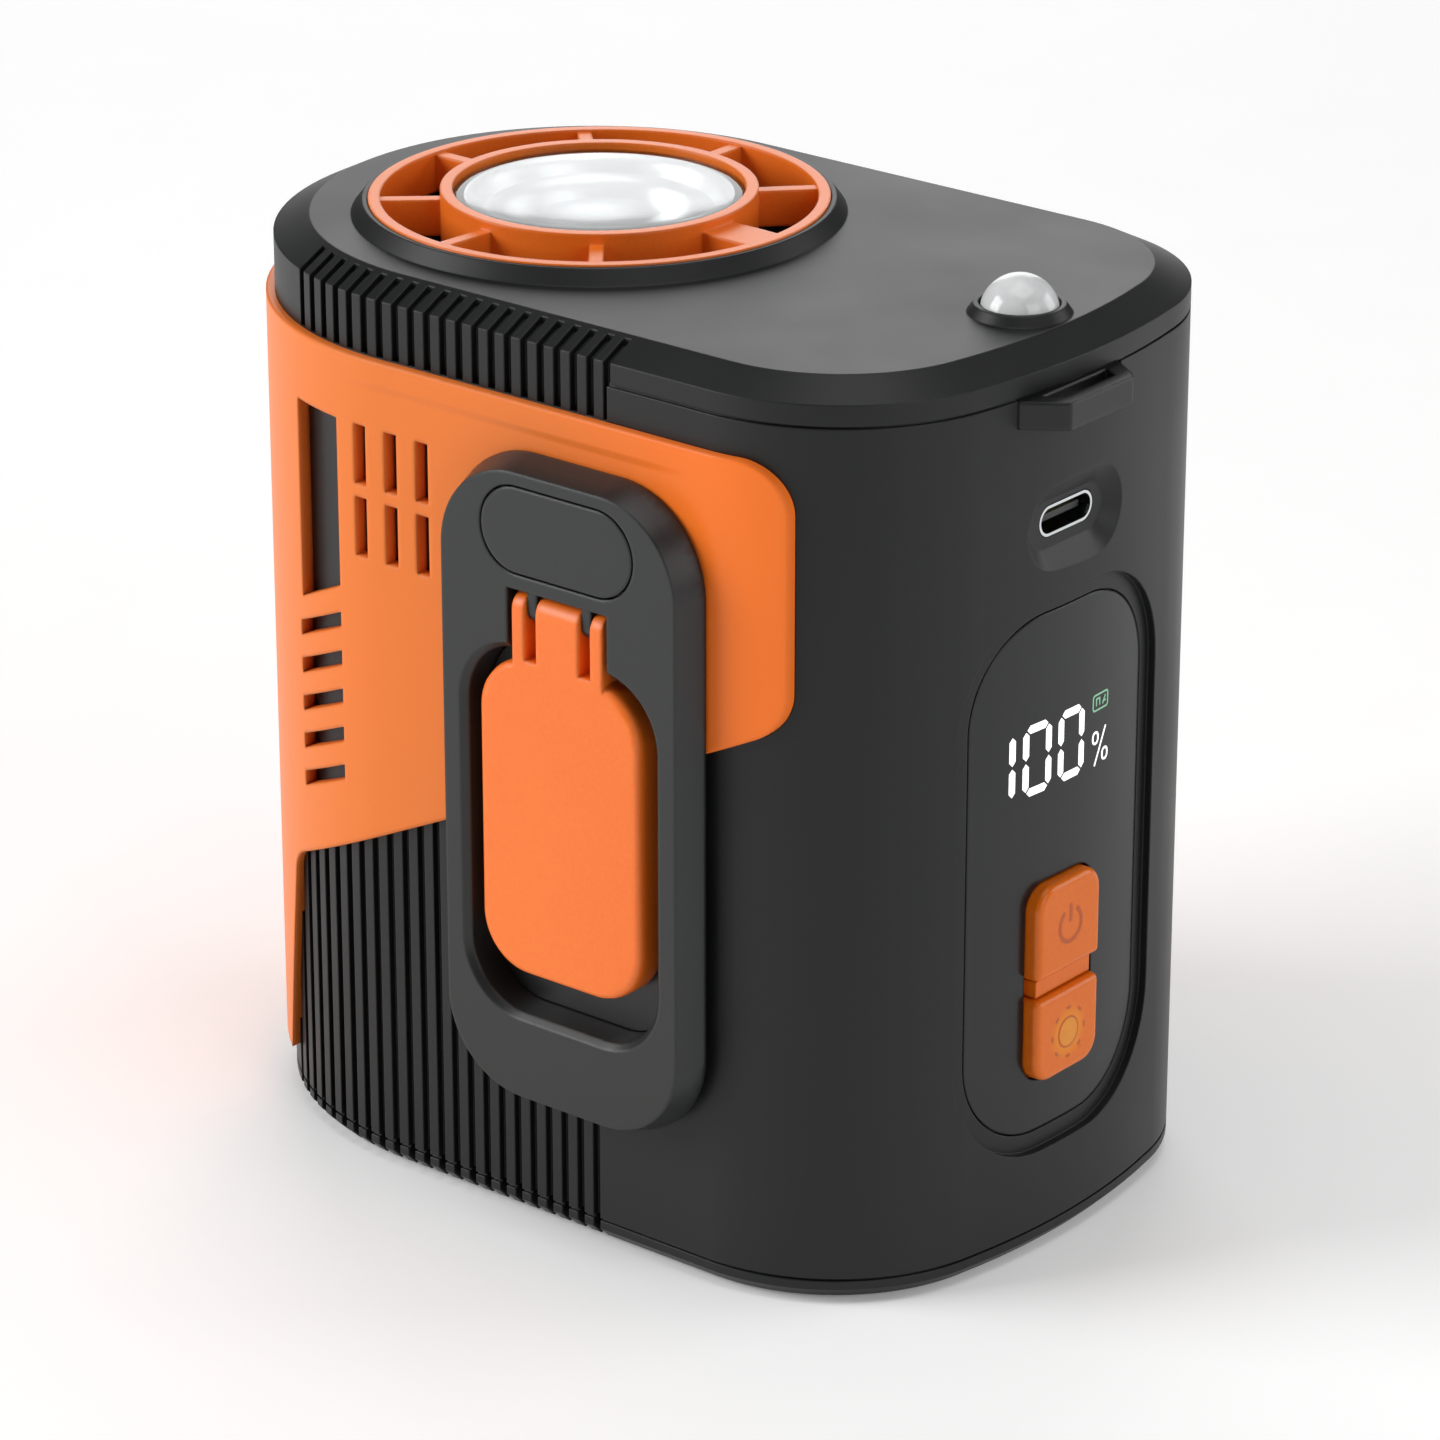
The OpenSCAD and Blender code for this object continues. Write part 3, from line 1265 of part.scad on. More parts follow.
module lanyard_loop() color(body_grey) translate([0, loop_y, loop_top - loop_height]) difference() {
    bar_x = end_x + loop_reach;
    root_x = end_x - loop_root - 2 * end_bulge;
    intersection() {
        linear_extrude(loop_height) polygon([
            [root_x, -loop_width / 2], [end_x - end_bulge / 2, -loop_width / 2],
            [bar_x - loop_corner, -loop_bar_width / 2], [bar_x, loop_corner - loop_bar_width / 2],
            [bar_x, loop_bar_width / 2 - loop_corner], [bar_x - loop_corner, loop_bar_width / 2],
            [end_x - end_bulge / 2, loop_width / 2], [root_x, loop_width / 2]]);
        translate([0, -loop_y, -far / 2]) difference() {
            slab(0, far, -far / 4);
            slab(-cut, far + cut, loop_root);
        }
    }
    translate([0, 0, -cut]) linear_extrude(loop_height + 2 * cut) polygon([
        [end_x, -(loop_hole + loop_flare) / 2], [bar_x - loop_bar, -loop_hole / 2],
        [bar_x - loop_bar, loop_hole / 2], [end_x, (loop_hole + loop_flare) / 2]]);
}

/* ---- inside ---- */

module battery_cells() color("#c3c7ca") for (i = [0:cell_count - 1])
    translate([cell_x, cell_front + i * cell_thickness, cell_foot]) {
        translate([0, cell_thickness - 0.05, cell_height / 2]) rotate([90, 0, 0])
            linear_extrude(cell_thickness - 0.1) rounded(cell_width, cell_height, 2);
        for (s = [-1, 1]) translate([s * cell_width / 4 - 4, cell_thickness / 2 - 0.15, cell_height - 0.01])
            cube([8, 0.3, 4.5]);
    }

module cell_cradle() color("#d8d5c9") {
    wide = board_width - 4;
    high = cell_foot - base_seam + cell_height;
    translate([cell_x - wide / 2, cradle_front, base_seam]) cube([wide, cradle_wall, high]);
    translate([cell_x - cell_width / 2, cradle_front, base_seam])
        cube([cell_width, cell_count * cell_thickness * 0.8, cell_foot - base_seam]);
    for (p = board_screw_points()) translate([p[0], cradle_front + 0.5, p[1]]) rotate([90, 0, 0]) difference() {
        cylinder(cradle_front + 0.5 - main_board_back, 2.5, 2.5);
        translate([0, 0, 0.5]) cylinder(far, screw_radius, screw_radius);
    }
}

// Screws of the main board, x and z
function board_screw_points() = [for (s = [-1, 1], t = [-1, 1])
    [board_x + s * (board_width / 2 - 4), board_foot + board_height / 2 + t * (board_height / 2 - 5)]];

module bus_bars() color(copper) {
    z = cell_foot + cell_height + 1.5;
    for (s = [-1, 1]) {
        x = cell_x + s * cell_width / 4;
        translate([x - 3, main_board_back, z]) cube([6, cell_front + cell_thickness / 2 - 0.15 - main_board_back, 1]);
        for (i = [0:cell_count - 2])
            translate([x - 3, cell_front + (i + 0.5) * cell_thickness + 0.15, z])
                cube([6, cell_thickness - 0.3, 1]);
    }
}

module main_board() color(board_green) difference() {
    translate([board_x - board_width / 2, main_board_front, board_foot])
        cube([board_width, board_thickness, board_height]);
    for (p = board_screw_points()) translate([p[0], far / 2, p[1]]) rotate([90, 0, 0])
        cylinder(far, screw_radius + 0.2, screw_radius + 0.2);
}

module board_screws() color(steel) for (p = board_screw_points())
    translate([p[0], main_board_front, p[1]]) rotate([-90, 0, 0]) screw(board_thickness + 3);

module board_inductor() color("#4b4d50")
    translate([board_x - board_width / 2 + 12, main_board_front, board_foot + board_height - 20])
    rotate([90, 0, 0]) {
        linear_extrude(8) rounded(16, 16, 3);
        cylinder(9, 5, 5);
    }

module board_capacitors() color("#2b2f55") for (i = [0:1])
    translate([board_x - board_width / 2 + 9 + 12 * i, main_board_front, 26]) rotate([90, 0, 0]) cylinder(14, 5, 5);

module power_mosfets() color("#191a1b") for (i = [0:3])
    translate([board_x - 8 + 7 * i, main_board_front - 2.4, 11]) cube([6, 2.4, 9]);

main_shell();
base_cap();
base_pad();
base_screws();
top_lid();
side_wrap();
vent_ring();
lamp_lens();
lamp_reflector();
lamp_led();
lamp_board();
lamp_heatsink();
fan_frame();
fan_rotor();
fan_screws();
beacon_lens();
beacon_board();
beacon_led();
side_frame();
frame_badge();
socket_flap();
hinge_pin();
socket_plate();
jump_socket();
socket_contacts();
display_plate();
display_module();
display_board();
display_screws();
button_bridge();
power_button();
light_button();
power_plunger();
light_plunger();
switch_bodies();
usb_shell();
usb_tongue();
usb_board();
lanyard_loop();
battery_cells();
cell_cradle();
bus_bars();
main_board();
board_inductor();
board_capacitors();
power_mosfets();
board_screws();
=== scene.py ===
import math

import bmesh
import bpy
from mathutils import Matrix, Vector


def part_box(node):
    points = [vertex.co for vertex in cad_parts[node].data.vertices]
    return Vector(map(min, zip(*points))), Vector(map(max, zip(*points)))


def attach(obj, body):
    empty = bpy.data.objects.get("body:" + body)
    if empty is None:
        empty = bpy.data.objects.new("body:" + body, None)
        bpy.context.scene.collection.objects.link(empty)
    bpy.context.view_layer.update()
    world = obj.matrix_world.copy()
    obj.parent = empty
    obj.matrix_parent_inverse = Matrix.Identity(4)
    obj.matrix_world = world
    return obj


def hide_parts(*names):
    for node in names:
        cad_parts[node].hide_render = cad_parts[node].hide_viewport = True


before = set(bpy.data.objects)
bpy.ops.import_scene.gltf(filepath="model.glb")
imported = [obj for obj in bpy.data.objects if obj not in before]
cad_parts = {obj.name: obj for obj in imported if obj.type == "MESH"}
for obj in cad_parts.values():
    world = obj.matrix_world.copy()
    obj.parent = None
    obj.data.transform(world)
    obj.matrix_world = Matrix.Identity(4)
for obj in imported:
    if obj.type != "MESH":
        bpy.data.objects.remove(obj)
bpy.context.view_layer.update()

# ---- Housing: shell and base cap ----
# Two injection-moulded ABS shells that close on a thin shadow line. The mould is spark
# eroded, so the faces are matt with a fine grain, and every edge is eased by the mould.
mm = 0.001
cloud_size = 26  # mm, the slow change of tone on every plastic
weld_gap = 2e-6  # m, within which two CAD corners are the same


def linear(code):
    """An sRGB hex colour as linear red, green, blue and alpha."""
    parts = [int(code[i:i + 2], 16) / 255 for i in (1, 3, 5)]
    return [c / 12.92 if c <= 0.04045 else ((c + 0.055) / 1.055) ** 2.4 for c in parts] + [1.0]


def add(tree, kind, inputs=None, **settings):
    """Adds a node with its settings, and fills or links its inputs by name or number."""
    node = tree.nodes.new(kind)
    for name, value in settings.items():
        setattr(node, name, value)
    for socket, value in (inputs or {}).items():
        if isinstance(value, bpy.types.NodeSocket):
            tree.links.new(value, node.inputs[socket])
        else:
            node.inputs[socket].default_value = value
    return node


def new_finish(name, values):
    """A material named for what it is, with constants set on its shader's own sockets."""
    finish = bpy.data.materials.new(name)
    finish.use_nodes = True
    shader = finish.node_tree.nodes["Principled BSDF"]
    for socket, value in values.items():
        shader.inputs[socket].default_value = value
    return finish, finish.node_tree, shader


def mixed(tree, share, deep, face):
    """A colour between two hex colours, by a share that runs from 0 to 1."""
    return add(tree, "ShaderNodeMix", {
        0: share, 6: linear(deep), 7: linear(face)}, data_type="RGBA").outputs[2]


def glow(code, strength):
    """The shader values of a finish that gives off light of a hex colour."""
    return {"Emission Color": linear(code), "Emission Strength": strength}


def wire(tree, shader, colour, gloss, bump=None):
    """Links a worked-out colour, gloss and relief to a shader."""
    tree.links.new(colour, shader.inputs["Base Color"])
    tree.links.new(gloss, shader.inputs["Roughness"])
    if bump is not None:
        tree.links.new(bump, shader.inputs["Normal"])


def grained_plastic(name, face, deep, grain, depth, rough, values=None, edge=0.25):
    """Moulded plastic: a grain of that width and depth in mm, a slow change of tone and gloss,
    and edges that the mould rounds to that radius in mm."""
    plastic, tree, shader = new_finish(name, {"IOR": 1.53, **(values or {})})
    place = add(tree, "ShaderNodeTexCoord").outputs["Object"]
    pits = add(tree, "ShaderNodeTexNoise", {
        "Vector": place, "Scale": 1 / (grain * mm), "Detail": 2.0, "Roughness": 0.6}).outputs["Fac"]
    cloud = add(tree, "ShaderNodeTexNoise", {
        "Vector": place, "Scale": 1 / (cloud_size * mm), "Detail": 3.0}).outputs["Fac"]
    both = add(tree, "ShaderNodeMath", {0: pits, 1: cloud}, operation="ADD").outputs[0]
    tone = add(tree, "ShaderNodeMapRange", {
        "Value": both, "From Min": 0.7, "From Max": 1.3}).outputs[0]
    colour = mixed(tree, tone, deep, face)
    gloss = add(tree, "ShaderNodeMapRange", {
        "Value": cloud, "From Min": 0.3, "From Max": 0.7,
        "To Min": rough - 0.04, "To Max": rough + 0.04}).outputs[0]
    eased = add(tree, "ShaderNodeBevel", {"Radius": edge * mm}, samples=6).outputs[0]
    bump = add(tree, "ShaderNodeBump", {
        "Strength": 0.6, "Distance": depth * mm, "Height": pits, "Normal": eased}).outputs[0]
    wire(tree, shader, colour, gloss, bump)
    return plastic


def plain_mesh(piece, name):
    """The piece's evaluated mesh under its modifiers, as a plain mesh that replaces its own."""
    bpy.context.view_layer.update()
    evaluated = piece.evaluated_get(bpy.context.evaluated_depsgraph_get())
    mesh = bpy.data.meshes.new_from_object(evaluated)
    mesh.name = name
    piece.modifiers.clear()
    piece.data = mesh
    return piece


def new_piece(name, mesh):
    """A new object for a mesh whose place is in its vertices."""
    piece = bpy.data.objects.new(name, mesh)
    bpy.context.scene.collection.objects.link(piece)
    return piece


def mesh_from(shape, name, sharp=None):
    """The mesh of a bmesh, which it frees. Edges of more than sharp degrees stay crisp."""
    mesh = bpy.data.meshes.new(name)
    shape.to_mesh(mesh)
    shape.free()
    if sharp:
        mesh.shade_smooth()
        mesh.set_sharp_from_angle(angle=math.radians(sharp))
    return mesh


def merged_copy(node, name, soft=20, strip=None):
    """A CAD node as one skin: faces that meet within soft degrees shade as one curve, and larger
    faces count for more, so flats stay flat and other edges stay crisp. strip gives two heights
    in mm between which the upright walls are spanned afresh, point above point."""
    shape = bmesh.new()
    shape.from_mesh(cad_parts[node].data)
    bmesh.ops.remove_doubles(shape, verts=shape.verts, dist=weld_gap)
    if strip:
        level_gap, side_gap = 2e-5, 1e-5
        low, high = ([v for v in shape.verts if abs(v.co.z - z * mm) < level_gap] for z in strip)
        ends = set(low) | set(high)
        walls = [f for f in shape.faces if ends.issuperset(f.verts) and not (
            set(low).issuperset(f.verts) or set(high).issuperset(f.verts))]
        bmesh.ops.delete(shape, geom=walls, context="FACES")
        above = {v: min(high, key=lambda w: (w.co.xy - v.co.xy).length) for v in low}
        for e in [e for e in shape.edges if set(low).issuperset(e.verts) and len(e.link_faces) == 1]:
            p, q = e.verts
            if all((above[v].co.xy - v.co.xy).length < side_gap for v in (p, q)):
                shape.faces.new([p, q, above[q], above[p]])
        bmesh.ops.recalc_face_normals(shape, faces=shape.faces)
    mesh = mesh_from(shape, name)
    mesh.shade_smooth()
    near = math.cos(math.radians(soft))
    facing = [(face.normal.copy(), face.area) for face in mesh.polygons]
    around = [[] for _ in mesh.vertices]
    for face in mesh.polygons:
        for corner in face.vertices:
            around[corner].append(face.index)
    normals = []
    for face in mesh.polygons:
        for corner in face.vertices:
            total = Vector((0, 0, 0))
            for other in around[corner]:
                if facing[other][0].dot(face.normal) > near:
                    total += facing[other][0] * facing[other][1]
            normals.append(total.normalized() if total.length else face.normal)
    mesh.normals_split_custom_set(normals)
    return new_piece(name, mesh)


def fit(piece, body, slot, finish, *nodes):
    """Gives a piece its finish, its body and the CAD nodes it stands for. slot is not used."""
    piece.data.materials.clear()
    piece.data.materials.append(finish)
    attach(piece, body)
    if nodes:
        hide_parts(*nodes)
    return piece


def dress(finish, *nodes):
    """Gives CAD nodes that keep their own shape a finish."""
    for node in nodes:
        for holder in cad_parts[node].material_slots:
            holder.material = finish


# ABS with a spark-eroded grain: matt, dark grey, with a broad soft sheen.
# The grain is drawn at 0.3 mm, a little coarser than the real 0.1 mm, so that it shows.
grained_abs = grained_plastic("grained charcoal ABS", "#181919", "#141515", 0.3, 0.012, 0.44,
                              {"Specular IOR Level": 0.33})
shell = merged_copy("main_shell", "shell_skin")
fit(shell, "housing", "charcoal_plastic", grained_abs, "main_shell")
cap = merged_copy("base_cap", "base_cap_skin")
fit(cap, "housing", "charcoal_plastic", grained_abs, "base_cap")

# ---- Rubber pad under the base ----
# A moulded rubber pad glued into the base cap. It stands slightly proud so that the pack
# does not slide, and dust dulls its face.
# Rubber: a dull black, coarser than the plastic, that hardly reflects.
rubber = grained_plastic("moulded black rubber", "#262626", "#1d1d1e", 0.5, 0.03, 0.75,
                         {"Specular IOR Level": 0.35})
pad = merged_copy("base_pad", "base_pad_rubber")
fit(pad, "housing", "rubber", rubber, "base_pad")

# ---- Lid ----
# The lid is moulded from the same ABS as the shell. Its flat top falls off over a sloping
# edge, the ribbed skirt reaches down over the shell, and a collar rings the vent.
lid = merged_copy("top_lid", "lid_skin")
fit(lid, "housing", "charcoal_plastic", grained_abs, "top_lid")

# ---- Orange wrap ----
# One bent panel of orange ABS snapped round the spine end and both flanks. It is moulded
# through, polished to a satin, with a soft crease below its upper edge.
wrap_edge = 0.8
crease_z = 89
crease_ends = (-23, 27)
crease_drop = 0.22
crease_half = 0.5
crease_fade = 8
# Between these the colour also runs from a painted sheen, paler and duller at the spine, to a deeper
# orange.
sheen_and_polish_from, sheen_and_polish_to = 2, 30  # mm along X, between which the panel grows glossier
lowest_band = (32.175, 36.775)  # between the two lowest slots of the spine


def wrap_plastic(name):
    """The wrap's ABS, with its fine grain, its change of gloss, a painted sheen that pales it round
    the spine, and the moulded crease.
    """
    plastic, tree, shader = new_finish(name, {
        "IOR": 1.53, "Specular IOR Level": 0.18, "Coat Weight": 0.06, "Coat Roughness": 0.18})
    place = add(tree, "ShaderNodeTexCoord").outputs["Object"]
    axes = add(tree, "ShaderNodeSeparateXYZ", {0: place}).outputs
    grain = add(tree, "ShaderNodeTexNoise", {
        "Vector": place, "Scale": 1 / (0.35 * mm), "Detail": 2.0}).outputs["Fac"]
    cloud = add(tree, "ShaderNodeTexNoise", {
        "Vector": place, "Scale": 1 / (30 * mm), "Detail": 2.0}).outputs["Fac"]
    # This share sets both the gloss and the painted sheen in the colour below.
    polished = add(tree, "ShaderNodeMapRange", {
        "Value": axes["X"], "From Min": sheen_and_polish_from * mm, "From Max": sheen_and_polish_to * mm},
        interpolation_type="SMOOTHSTEP").outputs[0]
    flow = add(tree, "ShaderNodeMapRange", {
        "Value": cloud, "From Min": 0.35, "From Max": 0.65, "To Max": 0.15}).outputs[0]
    mix = add(tree, "ShaderNodeMath", {
        0: polished, 1: flow}, operation="ADD", use_clamp=True).outputs[0]
    # Painted sheen: paler and duller towards the spine, where light grazes the panel; the cloud only
    # varies the tone.
    colour = mixed(tree, mix, "#e97b33", "#fb7a28")
    gloss = add(tree, "ShaderNodeMapRange", {
        "Value": polished, "To Min": 0.42, "To Max": 0.28}).outputs[0]
    above = add(tree, "ShaderNodeMapRange", {
        "Value": axes["Z"], "From Min": (crease_z - crease_half) * mm,
        "From Max": (crease_z + crease_half) * mm},
        interpolation_type="SMOOTHSTEP").outputs[0]
    start = add(tree, "ShaderNodeMapRange", {
        "Value": axes["X"], "From Min": crease_ends[0] * mm,
        "From Max": (crease_ends[0] + crease_fade) * mm},
        interpolation_type="SMOOTHSTEP").outputs[0]
    end = add(tree, "ShaderNodeMapRange", {
        "Value": axes["X"], "From Min": (crease_ends[1] - crease_fade) * mm,
        "From Max": crease_ends[1] * mm,
        "To Min": 1.0, "To Max": 0.0}, interpolation_type="SMOOTHSTEP").outputs[0]
    span = add(tree, "ShaderNodeMath", {0: start, 1: end}, operation="MULTIPLY").outputs[0]
    crease = add(tree, "ShaderNodeMath", {0: above, 1: span}, operation="MULTIPLY").outputs[0]
    eased = add(tree, "ShaderNodeBevel", {"Radius": wrap_edge * mm}, samples=8).outputs[0]
    step = add(tree, "ShaderNodeBump", {
        "Strength": 1.0, "Distance": crease_drop * mm, "Height": crease, "Normal": eased}).outputs[0]
    bump = add(tree, "ShaderNodeBump", {
        "Strength": 0.4, "Distance": 0.01 * mm, "Height": grain, "Normal": step}).outputs[0]
    wire(tree, shader, colour, gloss, bump)
    return plastic


# Satin ABS, glossier by the display end. Its colour carries a painted sheen: a paler, duller orange
# round the spine, where the light grazes it, and a deeper, brighter orange by the display end.
satin_orange = wrap_plastic("satin orange ABS")
wrap = merged_copy("side_wrap", "wrap_panel", strip=lowest_band)
fit(wrap, "housing", "orange_plastic", satin_orange, "side_wrap")

# ---- Vent ring ----
# The intake grille over the fan: a thin rim and a hub joined by eight spokes, moulded in
# one piece of orange ABS with well rounded edges.
# Moulded ABS: a browner orange, with soft light lines along its spokes.
ring_orange = grained_plastic(
    "moulded orange ABS", "#ef7824", "#e77020", 0.35, 0.01, 0.36,
    {"Specular IOR Level": 0.3, "Coat Weight": 0.08, "Coat Roughness": 0.2}, edge=0.45)
ring = merged_copy("vent_ring", "vent_ring_grille")
fit(ring, "housing", "orange_plastic", ring_orange, "vent_ring")

# ---- Lamp in the ring's hub ----
# A white LED on a round board at the throat of a deep reflector. The reflector is moulded
# in polycarbonate and vacuum metallised, in stepped rings, behind a clear polished window.
crown = 0.45
crown_rings = 10
crown_share = 0.985
window_bevel = (0.2, 0.15)
reflector_steps = 6
reflector_skin = 0.5
step_points = 5
step_curve = 1.6
step_bulge = 0.35
bulge_lean = 0.4
throat = 4.2
throat_clearance = 0.4
cup_margin = 1.2


def turned(name, profile, centre, sides=120):
    """A closed round piece about the upright line through centre. profile lists radius and height
    in mm in order round its section, and a radius of 0 is a point on the line."""
    shape = bmesh.new()
    rings = []
    for radius, height in profile:
        count = sides if radius else 1
        rings.append([shape.verts.new((
            centre[0] + radius * mm * math.cos(2 * math.pi * i / sides),
            centre[1] + radius * mm * math.sin(2 * math.pi * i / sides),
            height * mm)) for i in range(count)])
    for a, b in zip(rings, rings[1:] + rings[:1]):
        if len(a) == 1 and len(b) == 1:
            continue
        for i in range(sides):
            corners = [a[i % len(a)], a[(i + 1) % len(a)], b[(i + 1) % len(b)], b[i % len(b)]]
            shape.faces.new(list(dict.fromkeys(corners)))
    bmesh.ops.recalc_face_normals(shape, faces=shape.faces)
    return new_piece(name, mesh_from(shape, name, 40))


def plated_metal(name, face, deep, rough, grain, values=None):
    """Metal with fine marks of that grain in mm. Metals keep the default IOR."""
    metal, tree, shader = new_finish(name, {"Metallic": 1.0, **(values or {})})
    place = add(tree, "ShaderNodeTexCoord").outputs["Object"]
    marks = add(tree, "ShaderNodeTexNoise", {
        "Vector": place, "Scale": 1 / (grain * mm), "Detail": 3.0}).outputs["Fac"]
    colour = mixed(tree, marks, deep, face)
    gloss = add(tree, "ShaderNodeMapRange", {
        "Value": marks, "To Min": rough * 0.8, "To Max": rough * 1.3}).outputs[0]
    bump = add(tree, "ShaderNodeBump", {
        "Strength": 0.2, "Distance": 0.004 * mm, "Height": marks}).outputs[0]
    wire(tree, shader, colour, gloss, bump)
    return metal


def clear_plastic(name, tint, milk, rough):
    """Polished clear plastic with a faint flow haze. milk is the share of light that it scatters."""
    plastic, tree, shader = new_finish(name, {"IOR": 1.49, "Transmission Weight": 1.0 - milk})
    place = add(tree, "ShaderNodeTexCoord").outputs["Object"]
    haze = add(tree, "ShaderNodeTexNoise", {
        "Vector": place, "Scale": 1 / (6 * mm), "Detail": 2.0}).outputs["Fac"]
    colour = mixed(tree, haze, tint, "#ffffff")
    gloss = add(tree, "ShaderNodeMapRange", {
        "Value": haze, "To Min": rough * 0.6, "To Max": rough * 1.6}).outputs[0]
    wire(tree, shader, colour, gloss)
    return plastic


ring_low, ring_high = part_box("vent_ring")
hub_centre = ((ring_low.x + ring_high.x) / 2, (ring_low.y + ring_high.y) / 2)
lens_low, lens_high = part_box("lamp_lens")
cup_low, cup_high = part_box("lamp_reflector")
lens_radius = (lens_high.x - lens_low.x) / 2 / mm
cup_radius = (cup_high.x - cup_low.x) / 2 / mm
# Polished polycarbonate: clear, with a soft reflection of the lights above.
window_clear = clear_plastic("polished clear polycarbonate", "#eef3f4", 0.0, 0.03)
window_crown = [(lens_radius * math.cos(t) * crown_share,
                 lens_high.z / mm - crown + crown * math.sin(t))
                for t in (math.pi / 2 * k / crown_rings for k in range(1, crown_rings))]
lens = turned("lamp_window", [
    (0, lens_low.z / mm), (lens_radius, lens_low.z / mm),
    (lens_radius, lens_high.z / mm - crown - window_bevel[1]),
    (lens_radius - window_bevel[0], lens_high.z / mm - crown)]
    + window_crown + [(0, lens_high.z / mm)], hub_centre)
fit(lens, "housing", "clear_lens", window_clear, "lamp_lens")

# Vacuum-metallised polycarbonate: a bright mirror, softened by the lacquer over it.
mirror = plated_metal(
    "vacuum-metallised reflector", "#d2d5d7", "#c0c3c6", 0.36, 4, {"Metallic": 0.6})


def cup_point(step):
    """The radius and height in mm at which a step of the reflector starts."""
    rise = (cup_high.z - cup_low.z) / mm
    return (throat + throat_clearance + (cup_radius - cup_margin - throat) * step / reflector_steps,
            cup_low.z / mm + cup_margin + (rise - cup_margin) * (step / reflector_steps) ** step_curve)


wall_in = []
for step in range(reflector_steps):
    (inner, foot), (outer, head) = cup_point(step), cup_point(step + 1)
    for k in range(step_points + 1):
        part = k / step_points
        bulge = math.sin(math.pi * part) * step_bulge
        wall_in.append((inner + (outer - inner) * part - bulge * bulge_lean,
                        foot + (head - foot) * part + bulge))
wall_out = [(r + reflector_skin, z - reflector_skin)
            for r, z in reversed(wall_in) if r + reflector_skin < cup_radius]
reflector = turned(
    "lamp_reflector_cup", wall_in + [(cup_radius, cup_high.z / mm)] + wall_out, hub_centre)
fit(reflector, "housing", "mirror_coat", mirror, "lamp_reflector")

# LED phosphor: a pale yellow square under its dome. It glows a little, so that it reads as
# the lamp's bright centre.
phosphor, phosphor_tree, phosphor_shader = new_finish("LED phosphor", {
    "Roughness": 0.35, "IOR": 1.5, **glow("#fffdf2", 0.6)})
phosphor_place = add(phosphor_tree, "ShaderNodeTexCoord").outputs["Object"]
phosphor_grain = add(phosphor_tree, "ShaderNodeTexNoise", {
    "Vector": phosphor_place, "Scale": 1 / (0.4 * mm)}).outputs["Fac"]
phosphor_colour = mixed(phosphor_tree, phosphor_grain, "#f3eccb", "#fbf7e4")
phosphor_tree.links.new(phosphor_colour, phosphor_shader.inputs["Base Color"])
dress(phosphor, "lamp_led", "beacon_led")
# White solder mask: a clean, slightly glossy ground round the light source.
white_board = grained_plastic("white solder mask", "#efefec", "#e4e4e0", 1.2, 0.01, 0.35)
dress(white_board, "lamp_board")
# Turned aluminium: pale grey fins with fine tool marks.
turned_aluminium = plated_metal("turned aluminium", "#c9ccce", "#a9adb0", 0.32, 0.5)
dress(turned_aluminium, "lamp_heatsink")

# ---- Fan under the ring ----
# A black glass-filled nylon fan blows air round the lamp's heat sink. The rotor has seven
# twisted blades on a closed hub, and three screws hold its frame to the lid's duct.
blade_count = 7
blade_thick = 0.9
blade_twist = (0.82, 0.5)  # rad, the blade's lean at its root and at its tip
blade_spans = 8
blade_chords = 6
blade_inset = 0.3
blade_camber = 0.8
blade_margin = 0.8
rotor_hub = 9.5
hub_wall = 1
hub_round = 1.2
hub_ease = 0.35
hub_rise = 1.8
# Glass-filled nylon: black and dull, with a faint mottle from its fibres.
black_nylon = grained_plastic("glass-filled black nylon", "#222324", "#18191a", 0.6, 0.02, 0.5)
dress(black_nylon, "fan_frame")


def copies_tree(name, around):
    """A Geometry Nodes tree that repeats a piece around an axis, or along a step."""
    tree = bpy.data.node_groups.new(name, "GeometryNodeTree")
    kinds = [("Geometry", "NodeSocketGeometry"), ("Count", "NodeSocketInt"),
             ("Finish", "NodeSocketMaterial")]
    kinds += [("Centre", "NodeSocketVector"), ("Axis", "NodeSocketVector")] if around \
        else [("Step", "NodeSocketVector")]
    for label, kind in kinds:
        tree.interface.new_socket(label, in_out="INPUT", socket_type=kind)
    tree.interface.new_socket("Geometry", in_out="OUTPUT", socket_type="NodeSocketGeometry")
    given = add(tree, "NodeGroupInput").outputs
    if around:
        line = add(tree, "GeometryNodeMeshLine", {
            "Count": given["Count"], "Start Location": given["Centre"],
            "Offset": (0, 0, 0)}).outputs[0]
        order = add(tree, "GeometryNodeInputIndex").outputs[0]
        share = add(tree, "ShaderNodeMath", {
            0: order, 1: given["Count"]}, operation="DIVIDE").outputs[0]
        angle = add(tree, "ShaderNodeMath", {
            0: share, 1: 2 * math.pi}, operation="MULTIPLY").outputs[0]
        turn = add(tree, "FunctionNodeAxisAngleToRotation", {
            "Axis": given["Axis"], "Angle": angle}).outputs[0]
        copies = add(tree, "GeometryNodeInstanceOnPoints", {
            "Points": line, "Instance": given["Geometry"], "Rotation": turn}).outputs[0]
    else:
        line = add(tree, "GeometryNodeMeshLine", {
            "Count": given["Count"], "Offset": given["Step"]}).outputs[0]
        copies = add(tree, "GeometryNodeInstanceOnPoints", {
            "Points": line, "Instance": given["Geometry"]}).outputs[0]
    real = add(tree, "GeometryNodeRealizeInstances", {0: copies}).outputs[0]
    dressed = add(tree, "GeometryNodeSetMaterial", {
        "Geometry": real, "Material": given["Finish"]}).outputs[0]
    add(tree, "NodeGroupOutput", {0: dressed})
    return tree


